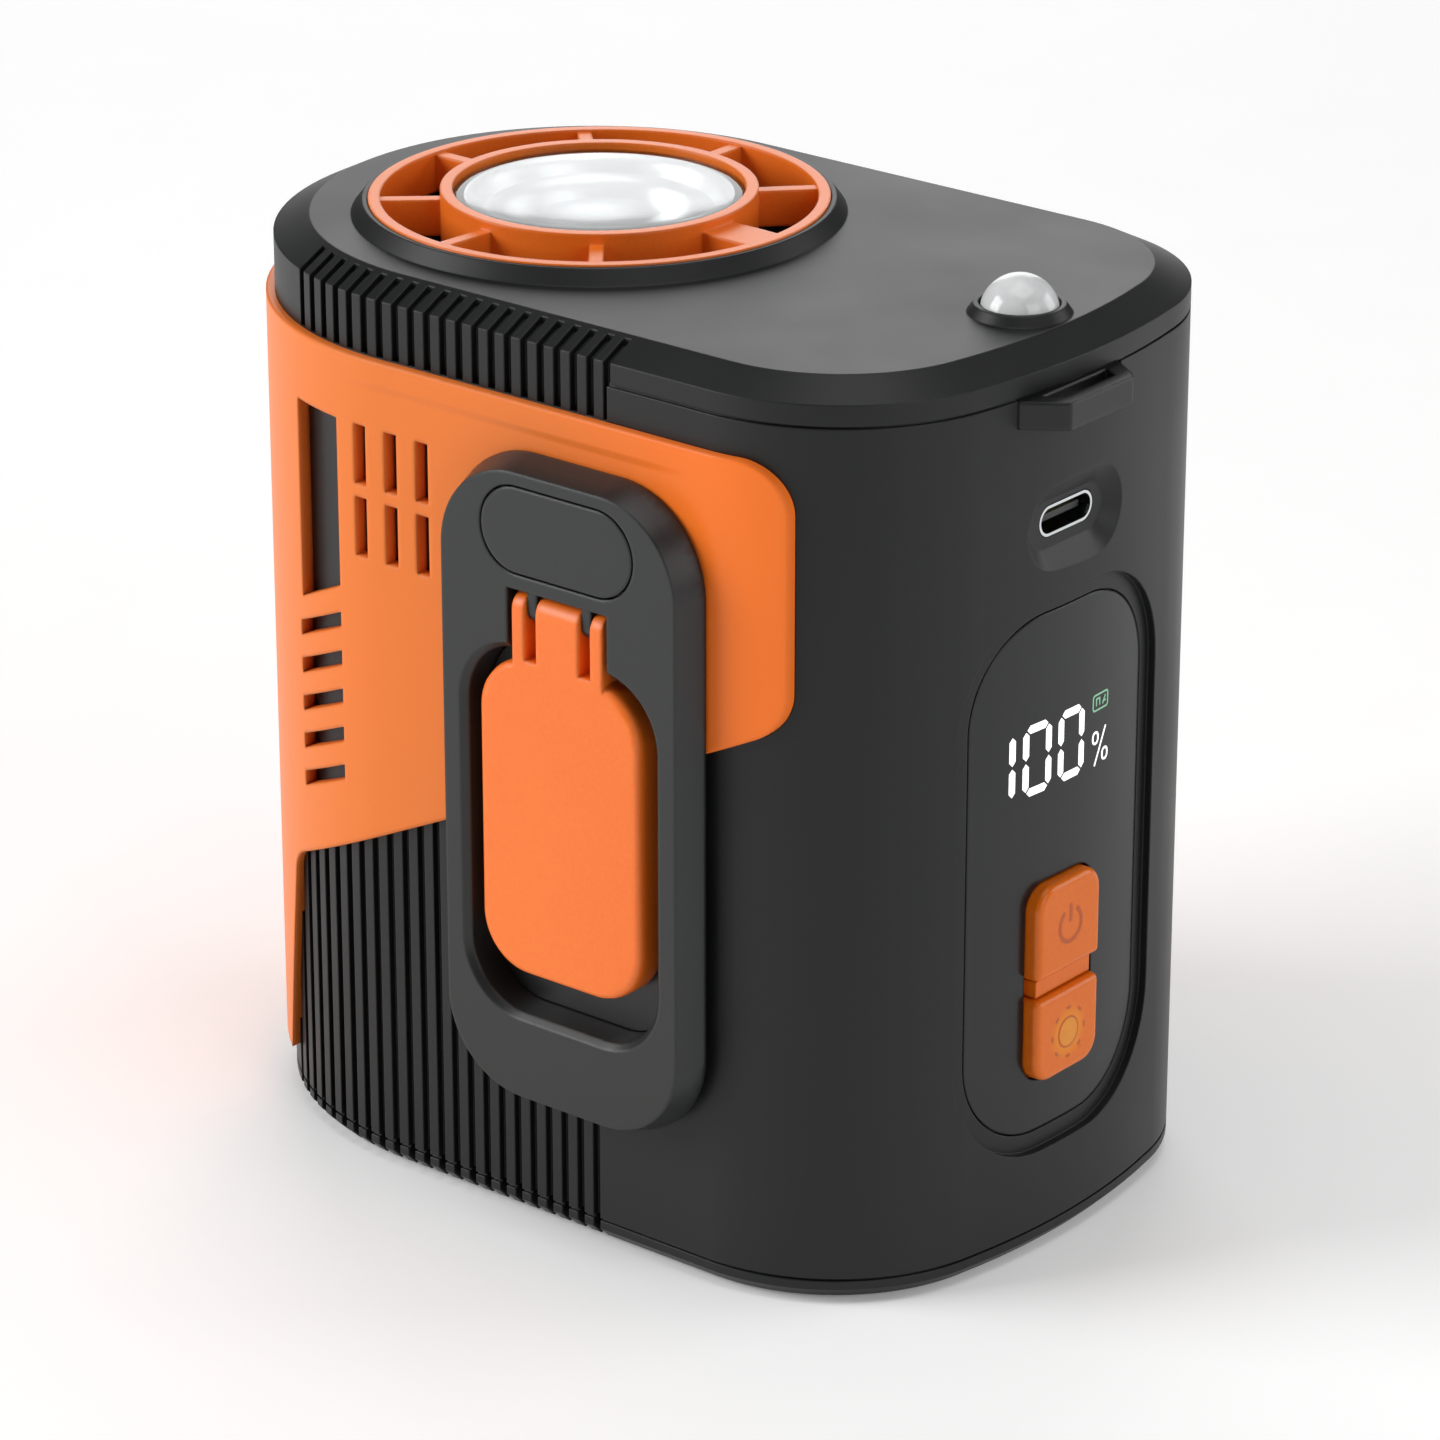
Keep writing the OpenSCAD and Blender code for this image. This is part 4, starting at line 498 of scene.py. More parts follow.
def repeated(piece, tree, values):
    """The piece's mesh repeated by a tree, as one plain mesh. Inputs are set by identifier."""
    maker = piece.modifiers.new("copies", "NODES")
    maker.node_group = tree
    for socket in tree.interface.items_tree:
        if socket.in_out == "INPUT" and socket.name in values:
            maker[socket.identifier] = values[socket.name]
    return plain_mesh(piece, piece.name)


round_axis = copies_tree("copies round an axis", True)
in_a_row = copies_tree("copies in a row", False)

rotor_low, rotor_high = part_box("fan_rotor")
rotor_tip = (rotor_high.y - rotor_low.y) / 2 / mm
hub_foot = rotor_low.z / mm + hub_rise
hub_head = rotor_high.z / mm
hub = turned("fan_hub", [
    (0, hub_head), (rotor_hub - hub_round, hub_head), (rotor_hub - hub_ease, hub_head - hub_ease),
    (rotor_hub, hub_head - hub_round), (rotor_hub, hub_foot), (rotor_hub - hub_wall, hub_foot),
    (rotor_hub - hub_wall, hub_head - hub_wall), (0, hub_head - hub_wall)], hub_centre)
blade_shape = bmesh.new()
blade_rows = []
for i in range(blade_spans + 1):
    reach = rotor_hub - blade_inset + (rotor_tip - rotor_hub - blade_inset) * i / blade_spans
    lean = blade_twist[0] + (blade_twist[1] - blade_twist[0]) * i / blade_spans
    row = []
    for k in range(blade_chords + 1):
        across = k / blade_chords - 0.5
        chord = across * (hub_head - hub_foot - blade_margin) / math.sin(lean)
        camber = math.cos(math.pi * across) * blade_camber
        row.append([blade_shape.verts.new((
            reach * mm, (chord * math.cos(lean) - (camber + side) * math.sin(lean)) * mm,
            (chord * math.sin(lean) + (camber + side) * math.cos(lean)) * mm))
            for side in (-blade_thick / 2, blade_thick / 2)])
    blade_rows.append(row)
for low_row, high_row in zip(blade_rows, blade_rows[1:]):
    for k in range(blade_chords):
        for side in (0, 1):
            blade_shape.faces.new([
                low_row[k][side], low_row[k + 1][side], high_row[k + 1][side], high_row[k][side]])
    for k in (0, blade_chords):
        blade_shape.faces.new([low_row[k][0], low_row[k][1], high_row[k][1], high_row[k][0]])
for row in (blade_rows[0], blade_rows[-1]):
    for k in range(blade_chords):
        blade_shape.faces.new([row[k][0], row[k][1], row[k + 1][1], row[k + 1][0]])
bmesh.ops.recalc_face_normals(blade_shape, faces=blade_shape.faces)
blades = repeated(new_piece("fan_blades", mesh_from(blade_shape, "fan_blades", 40)), round_axis, {
    "Count": blade_count, "Finish": black_nylon, "Axis": (0.0, 0.0, 1.0),
    "Centre": (hub_centre[0], hub_centre[1], (hub_foot + hub_head) / 2 * mm)})
fit(hub, "fan", "fan_plastic", black_nylon, "fan_rotor")
fit(blades, "fan", "fan_plastic", black_nylon)

# ---- Screws ----
# Zinc-plated pan-head screws: four under the base, three in the fan, four in the display
# board and four in the main board. Each head has a pressed cross recess.
head_wide = 2.6
head_high = 1.3
shank_wide = 1.25
shank_tip = 0.9
recess_arm = 1.4
recess_slot = 0.35
recess_deep = 1.4
# Zinc plate: a cool bright grey with a soft sparkle on the heads.
zinc = plated_metal("bright zinc-plated steel", "#cfd2d4", "#b4b8bb", 0.28, 0.35)


def screw_mesh(length):
    """One pan-head screw along +Z, its head below z = 0, with a cross recess pressed into it."""
    base = turned("screw", [
        (0, length), (shank_wide * 0.3, length), (shank_wide, length - shank_tip),
        (shank_wide, 0.0), (head_wide, 0.0), (head_wide, -head_high * 0.45),
        (head_wide * 0.86, -head_high * 0.85), (head_wide * 0.5, -head_high),
        (0, -head_high)], (0, 0), 32)
    slots = bmesh.new()
    for across, along in ((recess_arm, recess_slot), (recess_slot, recess_arm)):
        block = bmesh.ops.create_cube(slots, size=1)["verts"]
        bmesh.ops.scale(slots, vec=(2 * across * mm, 2 * along * mm, recess_deep * mm), verts=block)
        bmesh.ops.translate(slots, vec=(0, 0, -head_high * mm), verts=block)
    tool = new_piece("recess", mesh_from(slots, "recess"))
    cut = base.modifiers.new("recess", "BOOLEAN")
    cut.object = tool
    cut.solver = "EXACT"
    cut.use_self = True
    plain_mesh(base, "screw")
    bpy.data.objects.remove(tool)
    return base


def loose_parts(node):
    """The boxes, in metres, of a CAD node's separate solids."""
    shape = bmesh.new()
    shape.from_mesh(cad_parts[node].data)
    bmesh.ops.remove_doubles(shape, verts=shape.verts, dist=weld_gap)
    boxes, seen = [], set()
    for start in shape.verts:
        if start.index in seen:
            continue
        group, queue = [], [start]
        seen.add(start.index)
        while queue:
            vertex = queue.pop()
            group.append(vertex.co.copy())
            for edge in vertex.link_edges:
                other = edge.other_vert(vertex)
                if other.index not in seen:
                    seen.add(other.index)
                    queue.append(other)
        boxes.append([Vector([pick(p[i] for p in group) for i in range(3)]) for pick in (min, max)])
    shape.free()
    return boxes


screw_tree = bpy.data.node_groups.new("screws on their seats", "GeometryNodeTree")
for label, kind in (("Geometry", "NodeSocketGeometry"), ("Screw", "NodeSocketObject"),
                    ("Turn", "NodeSocketRotation"), ("Finish", "NodeSocketMaterial")):
    screw_tree.interface.new_socket(label, in_out="INPUT", socket_type=kind)
screw_tree.interface.new_socket("Geometry", in_out="OUTPUT", socket_type="NodeSocketGeometry")
screw_given = add(screw_tree, "NodeGroupInput").outputs
screw_copy = add(screw_tree, "GeometryNodeObjectInfo", {
    "Object": screw_given["Screw"]}).outputs["Geometry"]
screw_set = add(screw_tree, "GeometryNodeInstanceOnPoints", {
    "Points": screw_given["Geometry"], "Instance": screw_copy,
    "Rotation": screw_given["Turn"]}).outputs[0]
screw_real = add(screw_tree, "GeometryNodeRealizeInstances", {0: screw_set}).outputs[0]
screw_dressed = add(screw_tree, "GeometryNodeSetMaterial", {
    "Geometry": screw_real, "Material": screw_given["Finish"]}).outputs[0]
add(screw_tree, "NodeGroupOutput", {0: screw_dressed})

# Each row: the CAD node, the axis its screws run along, and the turn that points +Z that way.
for node, axis, turn in (
        ("base_screws", 2, (0, 0, 0)), ("fan_screws", 2, (0, 0, 0)),
        ("display_screws", 0, (0, math.pi / 2, 0)), ("board_screws", 1, (-math.pi / 2, 0, 0))):
    seats = []
    for low, high in loose_parts(node):
        seat = (low + high) / 2
        seat[axis] = low[axis] + head_high * mm
        length = (high[axis] - seat[axis]) / mm
        seats.append(seat)
    seat_mesh = bpy.data.meshes.new(node)
    seat_mesh.from_pydata(seats, [], [])
    pattern = screw_mesh(length)
    screws = repeated(new_piece(node + "_zinc", seat_mesh), screw_tree, {
        "Screw": pattern, "Turn": turn, "Finish": zinc})
    bpy.data.objects.remove(pattern)
    fit(screws, "housing", "steel", zinc, node)

# ---- Dome light ----
# A small milky polycarbonate dome over its own LED and board, held in a sloped collar
# of the lid. Light scatters in it, so it reads pearly with a bright top.
dome_low, dome_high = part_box("beacon_lens")
dome_centre = ((dome_low.x + dome_high.x) / 2, (dome_low.y + dome_high.y) / 2)
dome_foot = dome_low.z / mm
dome_top = dome_high.z / mm
dome_wide = 4.1
dome_skin = 0.9
dome_rim = 1
dome_rings = 16
dome_flange = (dome_high.x - dome_low.x) / 2 / mm


def dome_arc(radius):
    """The dome's section at a radius, from its foot towards the top."""
    return [(radius * math.cos(t), dome_top - dome_wide + radius * math.sin(t))
            for t in (math.pi / 2 * k / dome_rings for k in range(dome_rings))]


dome_hollow = list(reversed(dome_arc(dome_wide - dome_skin)))
dome = turned("dome_light_lens", [
    (dome_flange, dome_foot), (dome_flange, dome_foot + dome_rim),
    (dome_wide, dome_foot + dome_rim)]
    + dome_arc(dome_wide) + [(0, dome_top), (0, dome_top - dome_skin)] + dome_hollow
    + [(dome_wide - dome_skin, dome_foot)], dome_centre, 72)
# Opal polycarbonate: mostly scattering, with a polished skin.
pearl = clear_plastic("opal polycarbonate", "#e8eaec", 0.68, 0.09)
fit(dome, "housing", "pearl_dome", pearl, "beacon_lens")
# Solder mask over glass epoxy: a dark, glossy green.
green_board = grained_plastic(
    "green solder mask on glass epoxy", "#1f5a3b", "#17452d", 1.6, 0.02, 0.3)
dress(green_board, "beacon_board")

# ---- Side frame and its badge plate ----
# A thick oval frame of satin black nylon on a neck, screwed through the shell from inside.
# Its front edge slopes, its well holds the flap, and a loose oval plate closes its head.
# Satin nylon: a shade lighter and smoother than the shell.
satin_nylon = grained_plastic(
    "satin charcoal nylon", "#222424", "#1d1f1f", 0.35, 0.008, 0.36,
    {"Specular IOR Level": 0.38, "Coat Weight": 0.1, "Coat Roughness": 0.3}, edge=0.5)
side_loop = merged_copy("side_frame", "side_frame_skin")
fit(side_loop, "housing", "frame_plastic", satin_nylon, "side_frame")
badge = merged_copy("frame_badge", "frame_badge_skin")
fit(badge, "housing", "frame_plastic", satin_nylon, "frame_badge")

# ---- Flap and its pin ----
# The socket cover hangs on a steel pin between two lugs of the frame. It is a soft-edged
# pad of satin orange plastic with a knuckle in three parts.
# Polypropylene: the most even orange, with a little light scattered inside it.
soft_orange = grained_plastic(
    "satin orange polypropylene", "#f97a24", "#f5721e", 0.5, 0.006, 0.4,
    {"Specular IOR Level": 0.4, "Coat Weight": 0.08, "Coat Roughness": 0.25,
     "Subsurface Weight": 0.05, "Subsurface Radius": (0.0010, 0.0005, 0.0002)}, edge=0.7)
flap = merged_copy("socket_flap", "socket_flap_skin", soft=50)
fit(flap, "flap", "orange_plastic", soft_orange, "socket_flap")
# Drawn steel: a thin bright line between the lugs.
pin_steel = plated_metal("drawn steel wire", "#b9bcbf", "#9a9da0", 0.25, 0.2)
dress(pin_steel, "hinge_pin")

# ---- Jump-lead socket behind the flap ----
# A blue two-pole block of glass-filled nylon with two gold-plated tubes, set in a black
# plate at the bottom of the frame's well.
# Black polycarbonate: smooth and deep, so that the blue block stands out.
socket_black = grained_plastic("black polycarbonate", "#1c1d1e", "#161718", 0.5, 0.006, 0.4, edge=0.2)
dress(socket_black, "socket_plate")
# Blue nylon: the one cool colour, dull and slightly speckled by its glass fibres.
socket_blue = grained_plastic(
    "glass-filled blue nylon", "#2d66b8", "#2558a4", 0.4, 0.02, 0.45, edge=0.3)
dress(socket_blue, "jump_socket")
# Gold plate: a warm bright rim round each dark bore.
contact_gold = plated_metal("gold plating over brass", "#e7c46a", "#d2aa4b", 0.2, 0.3)
dress(contact_gold, "socket_contacts")

# ---- Display plate ----
# A smoked polycarbonate window in the recess of the display end, bowed like the shell.
# Lit white figures read through it: three figures of seven bars, a percent sign and a small
# pale green outline. They stand 0.03 mm proud, so that they follow the bow of the plate.
figure_low = 52.0
figure_high = 59.8
bar_wide = 0.9
bar_gap = 0.16
ink_height = 0.03
# Each figure's left and right side in mm, and the bars that are lit.
figures = [(-12.1, -9.6, "bc"), (-8.5, -4.1, "abcdef"), (-3.0, 1.4, "abcdef")]
# Smoked polycarbonate: almost black, and glossier than the shell round it.
smoked = grained_plastic(
    "smoked polycarbonate", "#131516", "#111213", 8, 0.001, 0.24,
    {"Specular IOR Level": 0.3, "Coat Weight": 0.15, "Coat Roughness": 0.08}, edge=0.4)
plate = merged_copy("display_plate", "display_window")
fit(plate, "housing", "display_window", smoked, "display_plate")
bow_radius = 78.91  # mm, the bow of the shell's display end
bow_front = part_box("display_plate")[1].x / mm


def plate_front(y):
    """The height of the bowed plate's front face, in mm along X, at y."""
    return bow_front - bow_radius + math.sqrt(bow_radius ** 2 - y ** 2)


def bar(y0, z0, y1, z1, wide, tip=1.0):
    """One bar between two points, with pointed ends as on a lit figure."""
    along = Vector((y1 - y0, z1 - z0)).normalized()
    side = Vector((-along.y, along.x)) * wide / 2
    a, b = Vector((y0, z0)), Vector((y1, z1))
    inset = along * wide / 2 * tip
    return [tuple(p) for p in (
        a, a + inset + side, b - inset + side, b, b - inset - side, a + inset - side)]


def round_line(y, z, wide, high, corners, inset=0, steps=6):
    """Points on a rounded rectangle about (y, z), moved in by inset. corners is its radius, or its
    four radii from the right-hand top one round."""
    if not isinstance(corners, tuple):
        corners = (corners,) * 4
    points = []
    for corner, (sy, sz) in enumerate(((1, 1), (-1, 1), (-1, -1), (1, -1))):
        radius = max(corners[corner] - inset, 0.05)
        for k in range(steps + 1):
            t = math.pi / 2 * (corner + k / steps)
            points.append((y + sy * (wide / 2 - inset - radius) + radius * math.cos(t),
                           z + sz * (high / 2 - inset - radius) + radius * math.sin(t)))
    return points


def raised(name, shapes, front, height, sink=0.05):
    """Thin closed prints on the face front(y). shapes are outlines or (outer, inner) pairs."""
    print_shape = bmesh.new()

    def ring_of(points, lift):
        return [print_shape.verts.new(((front(y) + lift) * mm, y * mm, z * mm)) for y, z in points]

    for outline in shapes:
        outer, inner = outline if isinstance(outline, tuple) else (outline, None)
        n = len(outer)
        top, foot = ring_of(outer, height), ring_of(outer, -sink)
        for i in range(n):
            print_shape.faces.new([foot[i], foot[(i + 1) % n], top[(i + 1) % n], top[i]])
        if inner is None:
            print_shape.faces.new(top)
            print_shape.faces.new(list(reversed(foot)))
            continue
        hole_top, hole_foot = ring_of(inner, height), ring_of(inner, -sink)
        for i in range(n):
            j = (i + 1) % n
            print_shape.faces.new([top[i], top[j], hole_top[j], hole_top[i]])
            print_shape.faces.new([foot[j], foot[i], hole_foot[i], hole_foot[j]])
            print_shape.faces.new([hole_foot[j], hole_foot[i], hole_top[i], hole_top[j]])
    bmesh.ops.recalc_face_normals(print_shape, faces=print_shape.faces)
    return new_piece(name, mesh_from(print_shape, name))


lit = []
middle = (figure_low + figure_high) / 2
for left, right, bars in figures:
    half_bar = bar_wide / 2
    y0, y1 = left + half_bar, right - half_bar
    top, foot = figure_high - half_bar, figure_low + half_bar
    places = {"a": (y0, top, y1, top), "b": (y1, middle, y1, top), "c": (y1, foot, y1, middle),
              "d": (y0, foot, y1, foot), "e": (y0, foot, y0, middle), "f": (y0, middle, y0, top)}
    for letter in bars:
        ya, za, yb, zb = places[letter]
        gap = Vector((yb - ya, zb - za)).normalized() * bar_gap
        lit.append(bar(ya + gap.x, za + gap.y, yb - gap.x, zb - gap.y, bar_wide))
# The percent sign: two small rings and a slanted stroke.
for y, z in ((3.5, 55.0), (5.3, 52.8)):
    lit.append((round_line(y, z, 1.2, 1.5, 0.6), round_line(y, z, 0.68, 0.98, 0.34)))
lit.append(bar(3.4, 51.9, 5.4, 55.9, 0.24, 0.2))
# White light through the window: an even glow with a slight grain.
white_glow = grained_plastic("white display light", "#ffffff", "#f4f6f8", 0.8, 0.001, 0.4,
                             glow("#ffffff", 0.7), edge=0.01)
fit(raised("lit_figures", lit, plate_front, ink_height), "housing", "display_window", white_glow)
# The small outline: a rounded frame with five plain strokes in it.
icon = [(round_line(4.3, 58.9, 2.9, 1.9, 0.4), round_line(4.3, 58.9, 2.5, 1.5, 0.22))]
icon += [bar(*ends, wide, 0.2) for ends, wide in (
    ((3.55, 58.5, 3.55, 59.4), 0.2), ((4.15, 58.5, 4.15, 59.4), 0.2), ((3.55, 59.3, 4.15, 59.3), 0.18),
    ((4.7, 58.45, 5.2, 59.35), 0.2), ((4.7, 58.75, 5.3, 58.75), 0.18))]
# Pale green light for the small outline.
green_glow = grained_plastic("pale green display light", "#86b899", "#7aab8d", 0.8, 0.001, 0.4,
                             glow("#8fdcab", 0.2), edge=0.01)
fit(raised("lit_outline", icon, plate_front, ink_height), "housing", "display_window", green_glow)
# Diffuser film, and the cells' tray: an even, milky white.
diffuser = grained_plastic("white diffuser film", "#e6e6e2", "#dcdcd8", 0.6, 0.002, 0.5)
dress(diffuser, "display_module")
dress(green_board, "display_board", "usb_board", "main_board")

# ---- Buttons ----
# Two press keys of glossy orange plastic in one rounded block, with a low bar of their
# carrier between them. The symbols are moulded in, and the lower one glows amber.
key_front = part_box("power_button")[1].x / mm
key_overlap = 0.8
key_lip = 0.6
key_round = 2.6
key_waist = 0.7
key_edge = 0.8
key_rings = 5
halo_from, halo_to = 1.4, 3.4
halo_share = 0.8
power_at = (-2.0, 36.4)
light_at = (-2.0, 24.2)
# Glossy ABS: a deeper orange, with a tight light line round each key.
gloss_orange = grained_plastic(
    "glossy orange ABS", "#e37014", "#dc6810", 0.6, 0.003, 0.26,
    {"Specular IOR Level": 0.24, "Coat Weight": 0.12, "Coat Roughness": 0.12}, edge=0.25)
# The lower key is thin over its lamp, which shows as an amber halo round the mark.
thin_orange = gloss_orange.copy()
thin_orange.name = "glossy orange ABS over the key lamp"
thin_tree = thin_orange.node_tree
thin_shader = thin_tree.nodes["Principled BSDF"]
from_lamp = add(thin_tree, "ShaderNodeVectorMath", {
    0: add(thin_tree, "ShaderNodeTexCoord").outputs["Object"],
    1: (key_front * mm, light_at[0] * mm, light_at[1] * mm)}, operation="DISTANCE").outputs["Value"]
halo = add(thin_tree, "ShaderNodeMapRange", {
    "Value": from_lamp, "From Min": halo_from * mm, "From Max": halo_to * mm,
    "To Min": halo_share, "To Max": 0.0},
    interpolation_type="SMOOTHSTEP").outputs[0]
warm = add(thin_tree, "ShaderNodeMix", {
    0: halo, 6: thin_shader.inputs["Base Color"].links[0].from_socket, 7: linear("#e88c08")},
    data_type="RGBA").outputs[2]
thin_tree.links.new(warm, thin_shader.inputs["Base Color"])
bridge = merged_copy("button_bridge", "button_bridge_skin")
fit(bridge, "housing", "orange_gloss", gloss_orange, "button_bridge")

for node, body, plunger, corners in (
        ("power_button", "power_key", "power_plunger", (key_round, key_round, key_waist, key_waist)),
        ("light_button", "light_key", "light_plunger", (key_waist, key_waist, key_round, key_round))):
    key_low, key_high = (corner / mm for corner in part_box(node))
    wide = key_high.y - key_low.y - 2 * key_overlap
    high = key_high.z - key_low.z - 2 * key_lip
    y = (key_low.y + key_high.y) / 2
    z = (key_low.z + key_high.z) / 2
    levels = [(key_low.x, 0.0), (key_front - key_edge, 0.0)]
    levels += [(key_front - key_edge + key_edge * math.sin(t), key_edge * (1 - math.cos(t)))
               for t in (math.pi / 2 * k / key_rings for k in range(1, key_rings + 1))]
    key_shape = bmesh.new()
    rings = [[key_shape.verts.new((x * mm, p * mm, q * mm))
              for p, q in round_line(y, z, wide, high, corners, inset, 8)] for x, inset in levels]
    for a, b in zip(rings, rings[1:]):
        for i in range(len(a)):
            key_shape.faces.new([a[i], a[(i + 1) % len(a)], b[(i + 1) % len(a)], b[i]])
    key_shape.faces.new(rings[-1])
    key_shape.faces.new(list(reversed(rings[0])))
    bmesh.ops.recalc_face_normals(key_shape, faces=key_shape.faces)
    key_cap = new_piece(node + "_cap", mesh_from(key_shape, node + "_cap", 30))
    firm = key_cap.modifiers.new("firm faces", "WEIGHTED_NORMAL")
    firm.keep_sharp = True
    fit(plain_mesh(key_cap, node + "_cap"), body, "orange_gloss",
        thin_orange if node == "light_button" else gloss_orange, node)
    dress(socket_black, plunger)
dress(socket_black, "switch_bodies")

# The symbols: an open ring with a stroke, and a disc in a ring with eight short curved marks.
# Angles are in degrees from straight up.
stroke = 0.5
power_ring = 1.85
power_gap = 32
power_stroke = (0.3, 2.4)
disc_wide = 1.55
rim_wide = 0.2
mark_count = 8
marks_out = 2.75
mark_wide = 0.3
mark_half = 7
mark_height = 0.02
# Painted shade: the mould engraves the mark, and a darker orange, drawn as a thin print, stands in for
# the shade in its groove.
engraving_shade = grained_plastic("engraved orange ABS", "#c2540f", "#b54c0c", 0.6, 0.004, 0.5, edge=0.05)
# Amber light through a thin wall of the key.
amber_glow = grained_plastic("amber light through the key", "#d8860f", "#c97a0c", 1.2, 0.002, 0.4,
                             glow("#e08a10", 0.12), edge=0.05)


def arc_band(at, radius, wide, start, end, steps=28):
    """A curved stroke about a point, from one angle to another, clockwise from straight up."""
    outer, inner = [], []
    for k in range(steps + 1):
        t = start + (end - start) * k / steps
        for points, r in ((outer, radius + wide / 2), (inner, radius - wide / 2)):
            points.append((at[0] + r * math.sin(t), at[1] + r * math.cos(t)))
    return outer + list(reversed(inner))


def flat_front(y):
    """The keys' flat face, in mm along X, at any y."""
    return key_front


power_mark = [
    arc_band(power_at, power_ring, stroke, math.radians(power_gap), math.radians(360 - power_gap)),
    bar(power_at[0], power_at[1] + power_stroke[0], power_at[0], power_at[1] + power_stroke[1],
        stroke, 0.3)]
fit(raised("power_mark", power_mark, flat_front, mark_height), "power_key", "orange_gloss", engraving_shade)


def circle(at, radius, sides=48):
    """Points on a circle about a point."""
    return [(at[0] + radius * math.cos(2 * math.pi * k / sides),
             at[1] + radius * math.sin(2 * math.pi * k / sides)) for k in range(sides)]


disc = circle(light_at, disc_wide)
rim = (circle(light_at, disc_wide + rim_wide), disc)
fit(raised("light_disc", [disc], flat_front, ink_height), "light_key", "orange_gloss", amber_glow)
fit(raised("light_rim", [rim], flat_front, mark_height), "light_key", "orange_gloss", engraving_shade)
# One curved mark about the X axis through the origin, drawn eight times about the disc.
mark_line = arc_band(
    (0, 0), marks_out, mark_wide, math.radians(-mark_half), math.radians(mark_half), 6)
mark = raised("light_rays", [mark_line], lambda y: 0.0, mark_height)
rays = repeated(mark, round_axis, {
    "Count": mark_count, "Finish": engraving_shade, "Axis": (1.0, 0.0, 0.0),
    "Centre": (key_front * mm, light_at[0] * mm, light_at[1] * mm)})
fit(rays, "light_key", "orange_gloss", engraving_shade)

# ---- USB port ----
# A stamped steel shell, bright with nickel and flush in its smooth dish, round a black tongue
# with a row of gold contacts on either face.
contact_count = 12
contact_pitch = 0.5
contact_size = (3.6, 0.26, 0.03)
contact_back = 0.3
tongue_half = 0.35
# Nickel plate: a thin, nearly white line round the port.
nickel = plated_metal("bright nickel plating", "#e3e6e8", "#d0d3d6", 0.14, 0.8)
usb_rim = merged_copy("usb_shell", "usb_shell_skin")
fit(usb_rim, "housing", "steel", nickel, "usb_shell")
tongue = merged_copy("usb_tongue", "usb_tongue_skin")
fit(tongue, "housing", "part_black", socket_black, "usb_tongue")
tongue_low, tongue_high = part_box("usb_tongue")
for side, label in ((1, "upper"), (-1, "lower")):
    contact = bmesh.new()
    block = bmesh.ops.create_cube(contact, size=1)["verts"]
    bmesh.ops.scale(contact, vec=[s * mm for s in contact_size], verts=block)
    bmesh.ops.translate(contact, verts=block, vec=(
        tongue_high.x - (contact_size[0] / 2 + contact_back) * mm,
        (tongue_low.y + tongue_high.y) / 2 - (contact_count - 1) / 2 * contact_pitch * mm,
        (tongue_low.z + tongue_high.z) / 2 + side * tongue_half * mm))
    contacts = repeated(new_piece(label + "_usb_contacts", mesh_from(contact, "contact")), in_a_row, {
        "Count": contact_count, "Step": (0.0, contact_pitch * mm, 0.0), "Finish": contact_gold})
    fit(contacts, "housing", "gold_contact", contact_gold)

# ---- Lanyard loop ----
# A short bar on two flared arms, set at the seam under the lid. It takes the cord of a
# wrist strap.
loop = merged_copy("lanyard_loop", "lanyard_loop_skin")
# Polished ABS: smoother than the lid, with a light line along the bar.
loop_abs = grained_plastic("polished charcoal ABS", "#191a1a", "#151616", 0.3, 0.006, 0.34,
                           {"Specular IOR Level": 0.4}, edge=0.55)
fit(loop, "housing", "charcoal_plastic", loop_abs, "lanyard_loop")

# ---- Inside: cells, busbars and boards ----
# Pouch cells in a white tray feed the socket through copper bars. The board behind them
# carries the power switches, a choke and its capacitors.
# Laminate foil: a soft, slightly wavy silver.
pouch = plated_metal("aluminium laminate pouch", "#c4c7c9", "#b2b5b8", 0.38, 3, {"Metallic": 0.85})
dress(pouch, "battery_cells")
dress(diffuser, "cell_cradle")
# Bare copper: a warm pinkish brown with faint rolling marks.
bar_copper = plated_metal("bare copper bar", "#d08a5e", "#b8734a", 0.3, 0.6)
dress(bar_copper, "bus_bars")
# Ferrite: a dry, speckled dark grey.
ferrite = grained_plastic("pressed ferrite powder", "#46484b", "#3b3d40", 0.25, 0.03, 0.6)
dress(ferrite, "board_inductor")
# Heat-shrink sleeve: bluish black with a broad sheen.
sleeve = grained_plastic("black heat-shrink sleeve", "#202327", "#1a1c20", 1.0, 0.01, 0.32)
dress(sleeve, "board_capacitors")
# Moulding epoxy: a matt, neutral black.
epoxy = grained_plastic("black moulding epoxy", "#1e1e1f", "#181819", 0.3, 0.01, 0.55)
dress(epoxy, "power_mosfets")

# ---- Studio ----
# A pale floor, a white surround and five soft boxes: overhead, left front, low behind for the
# sheen on the lid, a fill at the display end, and one far right for the lips of the dishes.
floor_size = 4
camera_place = (0.387322, -0.473973, 0.296474)
camera_turn = 0.683
camera_drop = 0.389
lens_length = 153.94
# The surround's strength to the camera, to all else, and its loss in reflections.
sky_seen = 1.0
sky_unseen = 1.25
sky_glossy = -0.1

floor_mesh = bpy.data.meshes.new("floor")
half = floor_size / 2
floor_mesh.from_pydata(
    [(-half, -half, 0), (half, -half, 0), (half, half, 0), (-half, half, 0)], [], [(0, 1, 2, 3)])
floor = new_piece("floor", floor_mesh)
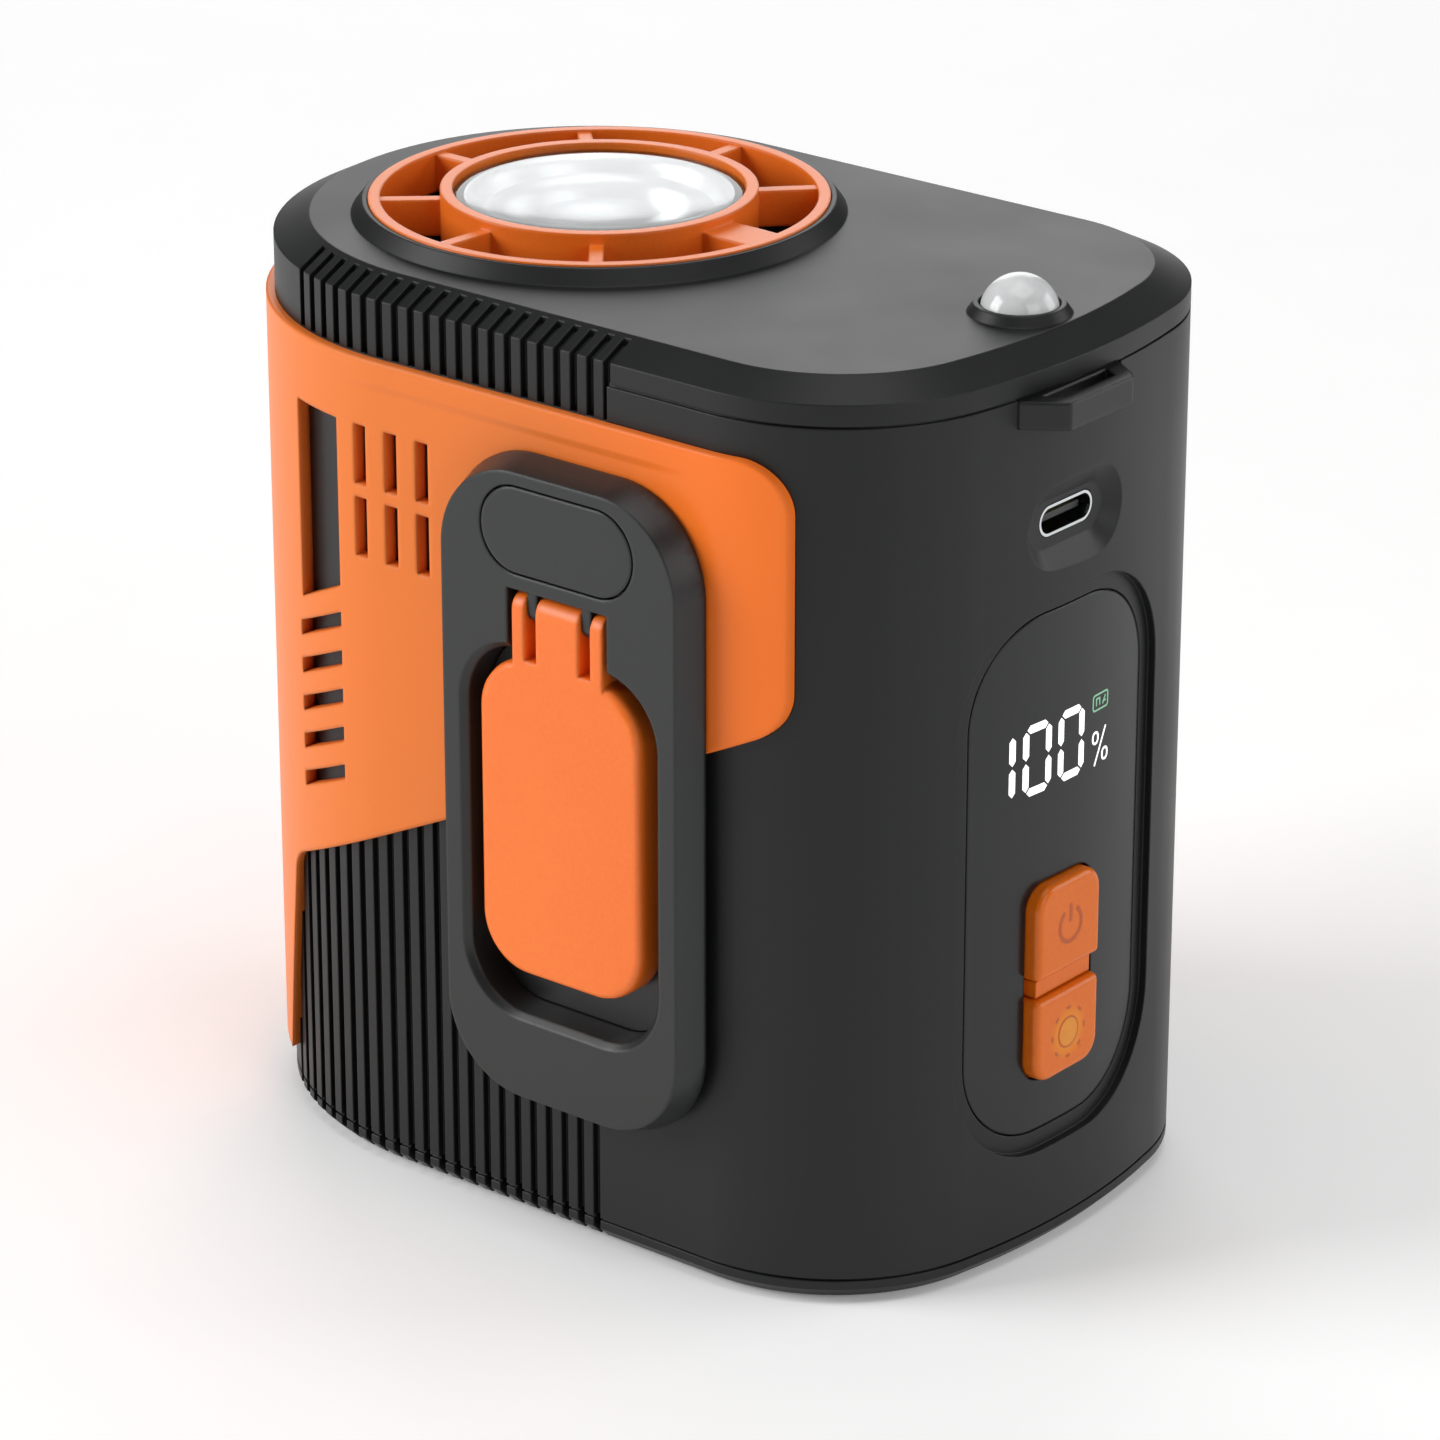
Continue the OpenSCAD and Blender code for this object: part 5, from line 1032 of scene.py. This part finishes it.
# Translucent white paper over a dim light table, which lifts the shadows.
paper, paper_tree, paper_shader = new_finish("pale backdrop paper", {
    "Specular IOR Level": 0.2, "Roughness": 0.7, **glow("#ffffff", 0.14)})
paper_place = add(paper_tree, "ShaderNodeTexCoord").outputs["Object"]
paper_fibre = add(paper_tree, "ShaderNodeTexNoise", {
    "Vector": paper_place, "Scale": 60.0}).outputs["Fac"]
paper_tone = mixed(paper_tree, paper_fibre, "#f7f7f7", "#fafafa")
paper_tree.links.new(paper_tone, paper_shader.inputs["Base Color"])
floor.data.materials.append(paper)

world = bpy.data.worlds.new("studio")
world.use_nodes = True
sky = world.node_tree
sky_shade = sky.nodes["Background"]
ray = add(sky, "ShaderNodeLightPath").outputs
seen = add(sky, "ShaderNodeMath", {
    0: ray["Is Camera Ray"], 1: ray["Is Transmission Ray"]}, operation="MAXIMUM").outputs[0]
level = add(sky, "ShaderNodeMapRange", {
    "Value": seen, "To Min": sky_unseen, "To Max": sky_seen}).outputs[0]
glossy = add(sky, "ShaderNodeMath", {
    0: ray["Is Glossy Ray"], 1: sky_glossy}, operation="MULTIPLY").outputs[0]
strength = add(sky, "ShaderNodeMath", {0: level, 1: glossy}, operation="ADD").outputs[0]
sky.links.new(strength, sky_shade.inputs["Strength"])
bpy.context.scene.world = world


def soft_lamp(name, place, aim, size, power):
    """A square soft box that faces a point."""
    lamp = bpy.data.lights.new(name, "AREA")
    lamp.shape = "SQUARE"
    lamp.size = size
    lamp.energy = power
    holder = bpy.data.objects.new(name, lamp)
    holder.location = place
    holder.rotation_euler = (Vector(aim) - Vector(place)).to_track_quat("-Z", "Y").to_euler()
    bpy.context.scene.collection.objects.link(holder)


# Places and sizes in metres, powers in watts.
soft_lamp("overhead box", (0.1, 0.0, 0.8), (0, 0, 0.05), 0.6, 2.2)
soft_lamp("front box", (-0.7, -0.7, 0.5), (0, 0, 0.05), 0.6, 9.5)
soft_lamp("back box", (-0.55, 0.7, 0.4), (0, 0, 0.08), 0.6, 2.4)
soft_lamp("end box", (0.9, -0.15, 0.4), (0, 0, 0.05), 0.6, 2.6)
soft_lamp("far box", (0.55, 0.7, 0.32), (0, 0, 0.06), 0.5, 2.2)

eye = bpy.data.cameras.new("camera")
eye.lens = lens_length
eye.clip_start = 0.01
camera = bpy.data.objects.new("camera", eye)
camera.location = camera_place
camera.rotation_euler = (math.pi / 2 - camera_drop, 0, camera_turn)
bpy.context.scene.collection.objects.link(camera)
bpy.context.scene.camera = camera
bpy.context.scene.view_settings.view_transform = "Standard"
